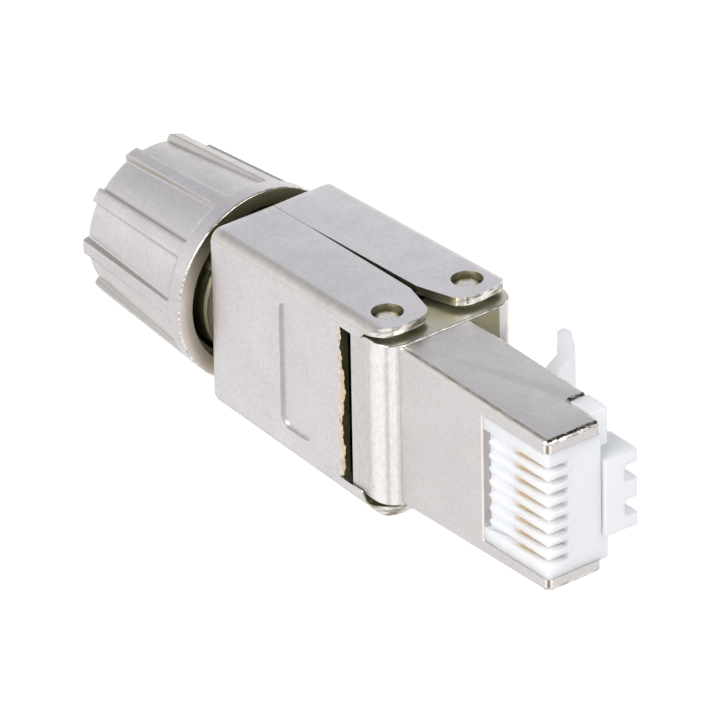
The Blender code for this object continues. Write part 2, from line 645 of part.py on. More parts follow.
def nut_outer_radius(x, angle):
    """The nut's outside: a cone over the ribs, with flat-bottomed hollows between them."""
    back = (NUT_FRONT_X - x) / NUT_LENGTH
    radius = mix(NUT_FRONT_R, NUT_REAR_R, back)
    band = NUT_BAND / NUT_LENGTH
    if back <= band + 1e-9:
        return radius
    height = mix(RIB_FRONT_HEIGHT, RIB_REAR_HEIGHT, (back - band) / (1 - band))
    spacing = TWO_PI / RIB_COUNT
    off = abs((angle + spacing / 2) % spacing - spacing / 2)
    down = min(1, max(0, (off - RIB_ANGLE / 2) / RIB_FLANK))
    return radius - height * down


def nut_angles():
    """Angles of one turn, with points on every rib's edges and feet."""
    spacing = TWO_PI / RIB_COUNT
    foot = RIB_ANGLE / 2 + RIB_FLANK
    hollow = spacing - 2 * foot
    angles = []
    for rib in range(RIB_COUNT):
        middle = rib * spacing
        angles += [middle - RIB_ANGLE / 2, middle, middle + RIB_ANGLE / 2, middle + foot,
                   middle + foot + hollow / 3, middle + foot + 2 * hollow / 3, middle + spacing - foot]
    return angles


def make_nut(finish):
    """The clamping nut: ribbed cone outside, bore and tapered seat inside."""
    seat_x = NUT_REAR_X + NUT_END_WALL
    step = NUT_BAND / 8
    outside = [NUT_FRONT_X, NUT_FRONT_X - NUT_BAND, NUT_FRONT_X - NUT_BAND - step, NUT_REAR_X + 2 * step,
               NUT_REAR_X]
    inside = [(NUT_REAR_X, CABLE_HOLE_R), (seat_x, CABLE_HOLE_R), (seat_x, NUT_REAR_BORE_R),
              (NUT_BORE_END_X, NUT_BORE_R), (NUT_FRONT_X - NUT_MOUTH_DEPTH, NUT_BORE_R),
              (NUT_FRONT_X - NUT_MOUTH_DEPTH, NUT_MOUTH_R), (NUT_FRONT_X, NUT_MOUTH_R)]
    rings = []
    for angle in nut_angles():
        ring = []
        for x in outside:
            radius = nut_outer_radius(x, angle)
            if x == NUT_REAR_X:
                radius -= step
            ring.append((x, radius))
        ring += inside
        rings.append([(x, BODY_SHIFT + r * math.cos(angle), r * math.sin(angle)) for x, r in ring])
    nut = skin("clamp_nut", rings, finish, (NUT_FRONT_X, BODY_SHIFT, 0), closed=True)
    smooth(nut)


def nut_seat_radius(x):
    """The nut's tapered inside behind the neck."""
    seat_x = NUT_REAR_X + NUT_END_WALL
    return mix(NUT_BORE_R, NUT_REAR_BORE_R, (NUT_BORE_END_X - x) / (NUT_BORE_END_X - seat_x))


def make_gland(finishes):
    """The clamping ring and the rubber seal that the nut pushes on the cable."""
    front = NECK_REAR_X - GLAND_BACKLASH
    rear = front - GLAND_LENGTH
    ring = turned("gland_ring", [(front, GLAND_BORE_R), (front, nut_seat_radius(front) - BORE_CLEAR),
                                 (rear, nut_seat_radius(rear) - BORE_CLEAR), (rear, GLAND_BORE_R)],
                  finishes["black"], front)
    smooth(ring)
    grommet_front = rear - FIT
    grommet_rear = grommet_front - GROMMET_LENGTH
    outer = nut_seat_radius(grommet_rear) - BORE_CLEAR
    grommet = turned("cable_grommet", [(grommet_front, GLAND_BORE_R), (grommet_front, outer),
                                       (grommet_rear, outer), (grommet_rear, GLAND_BORE_R)],
                     finishes["rubber"], grommet_front)
    smooth(grommet)


def make_collar(finish):
    """The sleeve in the neck that meets the cable's braid."""
    rear = NECK_REAR_X + SEAT
    front = SHELL_REAR_X + REAR_WALL
    collar = turned("shield_collar", [(rear, COLLAR_R - COLLAR_WALL), (rear, COLLAR_R),
                                      (front, COLLAR_R), (front, COLLAR_R - COLLAR_WALL)], finish, front)
    smooth(collar)


def ribbon(path, widths, bends, steps=6):
    """A strip's outline along a path of corner points, with round bends, its width changing evenly."""
    points = [path[0]]
    sizes = [widths[0]]
    for k in range(1, len(path) - 1):
        corner = rounded([(*path[k - 1], 0), (*path[k], bends[k - 1]), (*path[k + 1], 0)], steps)
        points += corner[1:-1]
        sizes += [widths[k]] * (steps + 1)
    points.append(path[-1])
    sizes.append(widths[-1])
    left, right = [], []
    for k, (x, y) in enumerate(points):
        before = Vector(points[max(k - 1, 0)])
        after = Vector(points[min(k + 1, len(points) - 1)])
        across = (after - before).normalized().orthogonal() * sizes[k] / 2
        left.append((x + across.x, y + across.y))
        right.append((x - across.x, y - across.y))
    tip = Vector(points[-1])
    along = (tip - Vector(points[-2])).normalized() * widths[-1] / 2
    cap = []
    for k in range(1, steps):
        angle = math.pi * k / steps
        arm = Vector(left[-1]) - tip
        spot = tip + arm * math.cos(angle) + along * math.sin(angle)
        cap.append((spot.x, spot.y))
    return left + cap + right[::-1]


def make_latch(finish):
    """The latch: a head with three tines, a sprung arm with locking shoulders, and an upturned lever."""
    half = LATCH_HEIGHT / 2
    low, high = -LATCH_DROP - half, -LATCH_DROP + half
    origin = (*LATCH_PIVOT, -LATCH_DROP)
    inner = NOTCH_Y + SEAT / 2
    head = rounded([
        (LATCH_PROUD, inner, 0),
        (LATCH_PROUD, HEAD_OUT, SEAT),
        (LATCH_PROUD - HEAD_LENGTH - SEAT, HEAD_OUT, 0),
        (LATCH_PROUD - HEAD_LENGTH - SEAT, HEAD_OUT - ARM_THICK[0], 0),
        (LATCH_PROUD - HEAD_LENGTH, LATCH_PIVOT[1] + 2 * SEAT, 0),
        (LATCH_PIVOT[0], inner, 0),
    ], 3)
    latch = extrude("latch", head, "z", low, high, finish, origin)
    arm = extrude("latch_arm", ribbon(ARM_PATH, ARM_THICK, ARM_BEND_R), "z", low + FIT, high - FIT)
    combine(latch, arm, "UNION")
    tine_x = LATCH_PROUD - TINE_LENGTH
    gaps = []
    for side in (-1, 1):
        near = -LATCH_DROP + side * MID_TINE / 2
        far = near + side * TINE_GAP
        gaps.append(((tine_x, HEAD_OUT - TINE_GAP_DEPTH, min(near, far)),
                     (LATCH_PROUD + CUT, HEAD_OUT + CUT, max(near, far))))
    combine(latch, boxes("tine_gaps", gaps))
    neck_front = -SHOULDER_AT
    neck_rear = neck_front - ARM_NECK_LENGTH
    wide_y = ARM_PATH[1][1] + ARM_THICK[1]
    waist = []
    for side in (-1, 1):
        near = -LATCH_DROP + side * ARM_NECK_HEIGHT / 2
        far = -LATCH_DROP + side * LATCH_HEIGHT
        waist.append(((neck_rear, LATCH_Y, min(near, far)), (neck_front, wide_y, max(near, far))))
    combine(latch, boxes("arm_waist", waist))
    smooth(latch)


def build():
    """Make every piece."""
    clear_scene()
    finishes = make_materials()
    make_plug_frame(finishes["nickel"])
    make_insert(finishes["white"])
    make_contacts(finishes["gold"])
    make_contact_bar(finishes["tin"])
    make_board(finishes["board"])
    make_terminals(finishes)
    make_wire_guide(finishes["black"])
    make_latch(finishes["white"])
    make_collar(finishes["tin"])
    for letter, side in (("a", -1), ("b", 1)):
        make_shell(letter, side, finishes["nickel"])
        make_pin(letter, side, finishes["bright"])
    make_nut(finishes["nickel"])
    make_gland(finishes)


build()
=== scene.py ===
import math

import bmesh
import bpy
import numpy as np
from mathutils import Matrix, Vector


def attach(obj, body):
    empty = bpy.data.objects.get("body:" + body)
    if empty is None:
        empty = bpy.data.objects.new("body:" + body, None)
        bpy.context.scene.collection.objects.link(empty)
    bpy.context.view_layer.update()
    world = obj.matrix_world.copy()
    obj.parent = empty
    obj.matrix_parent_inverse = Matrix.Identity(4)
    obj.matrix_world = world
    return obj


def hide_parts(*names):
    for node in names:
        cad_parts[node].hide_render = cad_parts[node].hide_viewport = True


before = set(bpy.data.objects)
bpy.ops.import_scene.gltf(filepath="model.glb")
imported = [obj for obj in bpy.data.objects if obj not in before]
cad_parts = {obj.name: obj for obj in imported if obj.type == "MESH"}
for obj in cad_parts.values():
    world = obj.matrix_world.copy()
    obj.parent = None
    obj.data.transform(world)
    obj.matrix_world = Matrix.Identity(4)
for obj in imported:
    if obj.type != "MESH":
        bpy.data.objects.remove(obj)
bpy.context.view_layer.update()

mm = 0.001
axisY = 1.5  # the housing's axis lies this far from the nose's mid plane
sides = (("a", -1), ("b", 1))  # a is the contact side, b the latch side
far = 9  # a cutter that reaches this far passes right through


# helpers for colours and nodes

def linear(hexColour):
    # sRGB hex to linear light
    parts = [int(hexColour[k:k + 2], 16) / 255 for k in (1, 3, 5)]
    return tuple(p / 12.92 if p <= 0.04045 else ((p + 0.055) / 1.055) ** 2.4 for p in parts) + (1,)


def grey(level):
    return (level, level, level, 1)


def cells(sizeMm):
    # a pattern's scale: how many grains of this size lie along a metre
    return 1000 / sizeMm


def limits(low, high, toLow, toHigh):
    # settings of a Map Range node: low becomes toLow and high becomes toHigh
    return {"From Min": low, "From Max": high, "To Min": toLow, "To Max": toHigh}


def grains(sizeMm, detail, rough=0.5):
    # settings of a noise whose grains have this size
    return {"Scale": cells(sizeMm), "Detail": detail, "Roughness": rough}


def feed(tree, node, values, sources):
    # fixed values go on the node's own sockets; a source is a socket, or a node that gives its first output
    for key, value in values.items():
        node.inputs[key].default_value = value
    for key, source in sources.items():
        tree.links.new(getattr(source, "outputs", [source])[0], node.inputs[key])


def addNode(tree, kind, settings=None, links=None):
    # one shader node, with its settings, socket values or ramp stops, and what feeds it
    node = tree.nodes.new("ShaderNode" + kind)
    for key, value in (settings or {}).items():
        if key == "stops":  # pairs of place and colour; a new ramp already has its first and last element
            first, last = node.color_ramp.elements
            first.position, first.color = value[0]
            last.position, last.color = value[-1]
            for position, colour in value[1:-1]:
                node.color_ramp.elements.new(position).color = colour
        elif isinstance(key, str) and hasattr(node, key):
            setattr(node, key, value)
        else:
            node.inputs[key].default_value = value
    feed(tree, node, {}, links or {})
    return node


def addObject(name, data):
    made = bpy.data.objects.new(name, data)
    bpy.context.scene.collection.objects.link(made)
    return made


# helpers for meshes

def gridFaces(rows, cols, looped):
    # quads between neighbouring points of a grid whose columns close, and whose rows may
    r = np.arange(rows if looped else rows - 1)[:, None]
    c = np.arange(cols)[None, :]
    r2, c2 = (r + 1) % rows, (c + 1) % cols
    quads = np.stack([r * cols + c, r * cols + c2, r2 * cols + c2, r2 * cols + c], -1)
    return quads.reshape(-1, 4)


def meshObject(name, points, faces):
    # points in millimetres until the piece is settled; normals are turned outwards
    mesh = bpy.data.meshes.new(name)
    mesh.from_pydata(np.asarray(points, float).reshape(-1, 3).tolist(), [], faces)
    mesh.validate()
    made = addObject(name, mesh)
    work = bmesh.new()
    work.from_mesh(mesh)
    bmesh.ops.remove_doubles(work, verts=work.verts, dist=1e-5)
    bmesh.ops.recalc_face_normals(work, faces=work.faces)
    work.to_mesh(mesh)
    work.free()
    return made


def carry(name, rings, looped=False):
    # a profile carried along a path: rings of points, (stations, points, 3), capped unless the path closes
    rings = np.asarray(rings, float)
    stations, count = rings.shape[:2]
    faces = gridFaces(stations, count, looped).tolist()
    if not looped:
        faces += [list(range(count))[::-1], list(range((stations - 1) * count, stations * count))]
    return meshObject(name, rings, faces)


def roundedLoop(lowA, highA, lowB, highB, radius, steps):
    # a rectangle's outline: corner centre plus radius times (cos, sin) of an angle that goes once round
    angle = (np.linspace(0, np.pi / 2, steps + 1)[None, :] + np.arange(4)[:, None] * np.pi / 2).ravel()
    right = np.repeat([True, False, False, True], steps + 1)
    upper = np.repeat([True, True, False, False], steps + 1)
    a = np.where(right, highA - radius, lowA + radius) + radius * np.cos(angle)
    b = np.where(upper, highB - radius, lowB + radius) + radius * np.sin(angle)
    return np.stack([a, b], -1)


def roundCorners(corners, steps):
    # straight edges with each (a, b, radius) corner turned on an arc: arc centre plus radius times (cos, sin)
    corners = np.asarray(corners, float)
    here, radius = corners[:, :2], corners[:, 2]
    back = np.roll(here, 1, 0) - here
    ahead = np.roll(here, -1, 0) - here
    back /= np.linalg.norm(back, axis=1)[:, None]
    ahead /= np.linalg.norm(ahead, axis=1)[:, None]
    half = np.arccos(np.clip((back * ahead).sum(1), -1, 1)) / 2
    middle = back + ahead
    middle /= np.maximum(np.linalg.norm(middle, axis=1), 1e-9)[:, None]
    outline = []
    for k in range(len(here)):
        if radius[k] <= 0:
            outline.append(here[k][None])
            continue
        centre = here[k] + middle[k] * radius[k] / np.sin(half[k])
        start, end = (here[k] + way[k] * radius[k] / np.tan(half[k]) - centre for way in (back, ahead))
        sweep = math.atan2(start[0] * end[1] - start[1] * end[0], start @ end)
        turn = np.linspace(0, sweep, steps + 1)
        outline.append(centre + np.stack([start[0] * np.cos(turn) - start[1] * np.sin(turn),
            start[0] * np.sin(turn) + start[1] * np.cos(turn)], -1))
    return np.concatenate(outline)


def inset(outline, amount):
    # each point moved inwards along its mitred normal
    mitreLimit = 0.2  # keeps a sharp corner from shooting inwards
    outline = np.asarray(outline, float)
    ahead = np.roll(outline, -1, 0) - outline
    ahead /= np.maximum(np.linalg.norm(ahead, axis=1), 1e-9)[:, None]
    back = np.roll(ahead, 1, 0)
    following = np.roll(outline, -1, 0)
    area = np.sum(outline[:, 0] * following[:, 1] - following[:, 0] * outline[:, 1])
    side = 1 if area > 0 else -1
    n1 = side * np.stack([-back[:, 1], back[:, 0]], -1)
    n2 = side * np.stack([-ahead[:, 1], ahead[:, 0]], -1)
    return outline + amount * (n1 + n2) / np.maximum(1 + (n1 * n2).sum(1), mitreLimit)[:, None]


def place(axis, pairs, along):
    # outline pairs are the other two axes, in X, Y, Z order
    along = np.broadcast_to(np.asarray(along, float), pairs.shape[:1])
    order = {"x": (along, pairs[:, 0], pairs[:, 1]), "y": (pairs[:, 0], along, pairs[:, 1]),
        "z": (pairs[:, 0], pairs[:, 1], along)}[axis]
    return np.stack(order, -1)


def slab(name, outline, axis, low, high, edge=0.0, steps=3):
    # an outline carried from low to high, its rims rounded: inset by edge*(1-sin t) at edge*(1-cos t) in
    outline = np.asarray(outline, float)
    if edge <= 0:
        return carry(name, [place(axis, outline, low), place(axis, outline, high)])
    t = np.linspace(0, np.pi / 2, steps + 1)
    shrink = edge * (1 - np.sin(t))
    depth = edge * (1 - np.cos(t))
    rings = [place(axis, inset(outline, s), low + d) for s, d in zip(shrink, depth)]
    rings += [place(axis, inset(outline, s), high - d) for s, d in zip(shrink[::-1], depth[::-1])]
    return carry(name, rings)


def ringOf(a, b, radius, count):
    # a circle's outline
    t = np.arange(count) * 2 * np.pi / count
    return np.stack([a + radius * np.cos(t), b + radius * np.sin(t)], -1)


def shape(target, tool, operation):
    # join, cut or intersect now, and drop the tool
    step = target.modifiers.new("step", "BOOLEAN")
    step.operation, step.solver, step.object = operation, "EXACT", tool
    graph = bpy.context.evaluated_depsgraph_get()
    graph.update()
    done = bpy.data.meshes.new_from_object(target.evaluated_get(graph))
    target.modifiers.clear()
    old, target.data = target.data, done
    bpy.data.meshes.remove(old)
    spare = tool.data
    bpy.data.objects.remove(tool)
    bpy.data.meshes.remove(spare)


def cut(target, tool):
    shape(target, tool, "DIFFERENCE")


def join(target, tool):
    shape(target, tool, "UNION")


def box(name, low, high):
    # a rectangle carried along X
    return slab(name, roundedLoop(low[1], high[1], low[2], high[2], 0, 0), "x", low[0], high[0])


def smoothOnly(piece, angle):
    piece.data.shade_smooth()
    piece.data.set_sharp_from_angle(angle=math.radians(angle))


def softenEdges(piece, width, segments, angle, edgeSlot=-1):
    # real rounded edges; slot 1 gives them the piece's second finish, on the housing and casting the edge
    # finish with painted glints
    smoothOnly(piece, angle)
    bevel = piece.modifiers.new("edges", "BEVEL")
    bevel.width, bevel.segments = width * mm, segments
    bevel.limit_method, bevel.angle_limit = "ANGLE", math.radians(angle)
    bevel.harden_normals, bevel.miter_outer = True, "MITER_ARC"
    bevel.material = edgeSlot


def pointsOf(mesh):
    # all of a mesh's points as rows of x, y, z
    flat = np.empty(len(mesh.vertices) * 3)
    mesh.vertices.foreach_get("co", flat)
    return flat.reshape(-1, 3)


def setPoints(mesh, points):
    mesh.vertices.foreach_set("co", points.ravel())
    mesh.update()


def settle(piece, uses, body, nodes):
    # millimetres to metres, then finishes, body and the CAD nodes that it stands for
    setPoints(piece.data, pointsOf(piece.data) * mm)
    piece.data.materials.clear()
    for use in uses:
        piece.data.materials.append(finish[use])
    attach(piece, body)
    if nodes:
        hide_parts(*nodes)


def facesOf(piece):
    # x, y and z of all face centres in millimetres, and of all face normals
    polygons = piece.data.polygons
    centres, normals = np.empty(len(polygons) * 3), np.empty(len(polygons) * 3)
    polygons.foreach_get("center", centres)
    polygons.foreach_get("normal", normals)
    return centres.reshape(-1, 3).T / mm, normals.reshape(-1, 3).T


def paint(piece, chosen, slot):
    # the chosen faces take another of the piece's finishes
    polygons = piece.data.polygons
    index = np.empty(len(polygons), dtype=np.int32)
    polygons.foreach_get("material_index", index)
    index[chosen] = slot
    polygons.foreach_set("material_index", index)
    piece.data.update()


def between(value, low, high):
    return (value > low) & (value < high)


# the camera, read from the photograph's edges, circles and slots
camera = {"azimuth": 52.291, "elevation": 30.344, "roll": -1.085, "distance": 0.83333, "lens": 615.7,
    "aim": (-0.0227886, -0.0009746, 0.0011835)}


def makeCamera(c):
    # back = (sin a cos e, -cos a cos e, sin e); right and up are square to it and turned by the roll
    a, e, roll = (math.radians(c[key]) for key in ("azimuth", "elevation", "roll"))
    back = Vector((math.sin(a) * math.cos(e), -math.cos(a) * math.cos(e), math.sin(e)))
    right = Vector((0, 0, 1)).cross(back).normalized()
    up = back.cross(right)
    right, up = right * math.cos(roll) + up * math.sin(roll), up * math.cos(roll) - right * math.sin(roll)
    data = bpy.data.cameras.new("camera")
    data.lens, data.sensor_width = c["lens"], 36
    data.clip_start, data.clip_end = 0.05, 20
    made = addObject("camera", data)
    turn = Matrix((right, up, back)).transposed().to_4x4()
    made.matrix_world = Matrix.Translation(Vector(c["aim"]) + back * c["distance"]) @ turn
    bpy.context.scene.camera = made


makeCamera(camera)
print("camera placed")


# the finishes

def startMaterial(name):
    # a new material, its nodes, its shader and the place on the piece
    made = bpy.data.materials.new(name)
    made.use_nodes = True
    tree = made.node_tree
    return made, tree, tree.nodes["Principled BSDF"], addNode(tree, "TexCoord").outputs["Object"]


def reopen(made):
    # the same for a finished material, and the colour that it has so far
    tree = made.node_tree
    shader = tree.nodes["Principled BSDF"]
    plate = shader.inputs["Base Color"].links[0].from_socket
    return tree, shader, plate, addNode(tree, "TexCoord").outputs["Object"]


# pits in the plate lie about one every 2 mm and are 0.08 mm wide
plating = {"cloudMm": 3.5, "cloudShare": 0.35, "pitEveryMm": 1.9, "pitEdge": (0.018, 0.032),
    "pitTint": "#5A554C", "waveEveryMm": 1.4, "waveMm": 0.02, "smoother": 0.05, "rougher": 0.06}


def nickelPlate(name, base, rough, grainMm=0.16, grainHeight=0.004, mottle=0.15, metallic=1.0):
    # nickel plate on die-cast zinc keeps the casting's faint grain, so highlights are broad and soft
    p = plating
    made, tree, shader, where = startMaterial(name)
    full = linear(base)
    low, high = (tuple(min(1, c * k) for c in full[:3]) + (1,) for k in (1 - mottle, 1 + mottle))
    grain = addNode(tree, "TexNoise", grains(grainMm, 3, 0.65), {"Vector": where})
    cloud = addNode(tree, "TexNoise", grains(p["cloudMm"], 4, 0.6), {"Vector": where})
    both = addNode(tree, "Mix", {"data_type": "FLOAT", 0: p["cloudShare"]}, {2: grain, 3: cloud})
    tint = addNode(tree, "Mix", {"data_type": "RGBA", 6: low, 7: high}, {0: both})
    pits = addNode(tree, "TexVoronoi", {"Scale": cells(p["pitEveryMm"])}, {"Vector": where})
    spot = addNode(tree, "MapRange", limits(*p["pitEdge"], 1, 0), {"Value": pits})
    dark = addNode(tree, "Mix", {"data_type": "RGBA", 7: linear(p["pitTint"])}, {0: spot, 6: tint.outputs[2]})
    broad = addNode(tree, "TexNoise", grains(p["waveEveryMm"], 2), {"Vector": where})
    sheen = addNode(tree, "MapRange", limits(0.3, 0.7, rough - p["smoother"], rough + p["rougher"]),
        {"Value": broad})
    fine = addNode(tree, "Bump", {"Strength": 0.5, "Distance": grainHeight * mm}, {"Height": grain})
    wave = addNode(tree, "Bump", {"Strength": 0.5, "Distance": p["waveMm"] * mm},
        {"Height": broad, "Normal": fine})
    feed(tree, shader, {"Metallic": metallic},
        {"Base Color": dark.outputs[2], "Roughness": sheen, "Normal": wave})
    return made


# painted highlights on the columns: gain, streaks along them, and bands of angle in degrees against
# brightness
column = {"x": -17.3, "across": 3.92, "gain": 1.45, "streakedGain": (0.86, 1.12), "wobbleMm": 0.35, "wobble": 0.03,
    "streakMm": 0.22, "drawnOut": 0.4,
    "bands": [(-16, 0.68), (-3, 0.92), (22, 0.98), (30, 0.93), (34, 0.74), (40, 0.72), (43, 0.95),
    (56, 0.97), (61, 0.77), (80, 0.69)]}


def paintedColumnHighlights(made, c):
    # the housing halves swing round these columns; two bands of painted highlight on each stand for
    # reflections:
    # a ramp follows the angle round the column, flat side -90 to front 90 degrees, and multiplies the plate's
    # own colour
    tree, shader, plate, where = reopen(made)
    part = addNode(tree, "SeparateXYZ", None, {0: where})
    ahead = addNode(tree, "Math", {"operation": "SUBTRACT", 1: c["x"] * mm}, {0: part.outputs["X"]})
    aside = addNode(tree, "Math", {"operation": "SUBTRACT", 1: axisY * mm}, {0: part.outputs["Y"]})
    across = addNode(tree, "Math", {"operation": "ABSOLUTE"}, {0: aside})
    inwards = addNode(tree, "Math", {"operation": "SUBTRACT", 1: c["across"] * mm}, {0: across})
    angle = addNode(tree, "Math", {"operation": "ARCTAN2"}, {0: ahead, 1: inwards})
    noise = addNode(tree, "TexNoise", grains(c["wobbleMm"], 4, 0.7), {"Vector": where})
    wobble = addNode(tree, "MapRange", limits(0.3, 0.7, -c["wobble"], c["wobble"]), {"Value": noise})
    moved = addNode(tree, "Math", {"operation": "ADD"}, {0: angle, 1: wobble})
    share = addNode(tree, "MapRange", limits(-math.pi / 2, math.pi / 2, 0, 1), {"Value": moved})
    stops = [(0.5 + degrees / 180, grey(level)) for degrees, level in c["bands"]]
    ramp = addNode(tree, "ValToRGB", {"stops": stops}, {"Fac": share})
    drawn = addNode(tree, "VectorMath", {"operation": "MULTIPLY", 1: (1, 1, c["drawnOut"])}, {0: where})
    streaks = addNode(tree, "TexNoise", grains(c["streakMm"], 4, 0.7), {"Vector": drawn})
    less, more = (c["gain"] * k for k in c["streakedGain"])
    streakedGain = addNode(tree, "MapRange", limits(0.25, 0.75, less, more), {"Value": streaks})
    gain = addNode(tree, "VectorMath", {"operation": "SCALE"}, {0: ramp, "Scale": streakedGain})
    lit = addNode(tree, "VectorMath", {"operation": "MULTIPLY"}, {0: plate, 1: gain})
    feed(tree, shader, {}, {"Base Color": lit})
    return made


def fadeAlong(made, axis, fromMm, toMm, tint):
    # the finish gives way to another tint between two places: share = (along - from) / (to - from)
    tree, shader, plate, where = reopen(made)
    part = addNode(tree, "SeparateXYZ", None, {0: where})
    share = addNode(tree, "MapRange", limits(fromMm * mm, toMm * mm, 0, 1), {"Value": part.outputs[axis]})
    mixed = addNode(tree, "Mix", {"data_type": "RGBA", 7: linear(tint)}, {0: share, 6: plate})
    feed(tree, shader, {}, {"Base Color": mixed.outputs[2]})
    return made


def dentedTint(made, tree, shader, where, sizeMm, detail, ragged, stops, dentMm, values):
    # one noise gives both the tint and the dents
    noise = addNode(tree, "TexNoise", grains(sizeMm, detail, ragged), {"Vector": where})
    tint = addNode(tree, "ValToRGB", {"stops": [(at, linear(hue)) for at, hue in stops]}, {"Fac": noise})
    bump = addNode(tree, "Bump", {"Strength": 0.8, "Distance": dentMm * mm}, {"Height": noise})
    feed(tree, shader, values, {"Base Color": tint, "Normal": bump})
    return made


def paintedGlintEdge(name, dark, darkTo, brightFrom, grainMm=0.7, dentMm=0.03, bright="#F4F1ED"):
    # edges rubbed and dented; their tint has dark and bright runs along the edge, painted glints and painted
    # dark reflections, and the low roughness and the dents add real glints
    made, tree, shader, where = startMaterial(name)
    flat = addNode(tree, "VectorMath", {"operation": "MULTIPLY", 1: (1, 1, 3.5)}, {0: where})
    return dentedTint(made, tree, shader, flat, grainMm, 2, 0.6,
        [(darkTo, dark), (brightFrom, bright)], dentMm, {"Metallic": 1, "Roughness": 0.2})


def brokenGate(name, dark, bright, crumbMm, crumbHeight):
    # zinc torn where the casting's gate was broken off: dry, tan, crumbled, no plate left
    return dentedTint(*startMaterial(name), crumbMm, 5, 0.7, [(0.30, dark), (0.60, bright)], crumbHeight,
        {"Roughness": 0.7})


moulded = {"cloudMm": 3, "grainMm": 0.12, "grainHeight": 0.004, "rough": 0.42, "ior": 1.58,
    "lightGoesIn": 0.75, "depthMm": 1.6}


def mouldedWhite(name, base, shade, m):
    # white polycarbonate from a fine-textured mould: slightly blue, a soft sheen, light goes in a little
    made, tree, shader, where = startMaterial(name)
    cloud = addNode(tree, "TexNoise", grains(m["cloudMm"], 3), {"Vector": where})
    tint = addNode(tree, "Mix", {"data_type": "RGBA", 6: linear(base), 7: linear(shade)}, {0: cloud})
    grain = addNode(tree, "TexNoise", grains(m["grainMm"], 2), {"Vector": where})
    bump = addNode(tree, "Bump", {"Strength": 0.25, "Distance": m["grainHeight"] * mm}, {"Height": grain})
    feed(tree, shader, {"Roughness": m["rough"], "IOR": m["ior"], "Subsurface Weight": m["lightGoesIn"],
        "Subsurface Radius": (1, 1, 1), "Subsurface Scale": m["depthMm"] * mm},
        {"Base Color": tint.outputs[2], "Normal": bump})
    return made


def evenFinish(name, base, patch, rough, metallic=1.0, mottleMm=0.6, mottleHeight=0.006):
    # small stampings and mouldings out of the light: one colour with a soft mottle
    made, tree, shader, where = startMaterial(name)
    cloud = addNode(tree, "TexNoise", grains(mottleMm, 3), {"Vector": where})
    tint = addNode(tree, "Mix", {"data_type": "RGBA", 6: linear(base), 7: linear(patch)}, {0: cloud})
    bump = addNode(tree, "Bump", {"Strength": 0.4, "Distance": mottleHeight * mm}, {"Height": cloud})
    feed(tree, shader, {"Metallic": metallic, "Roughness": rough},
        {"Base Color": tint.outputs[2], "Normal": bump})
    return made


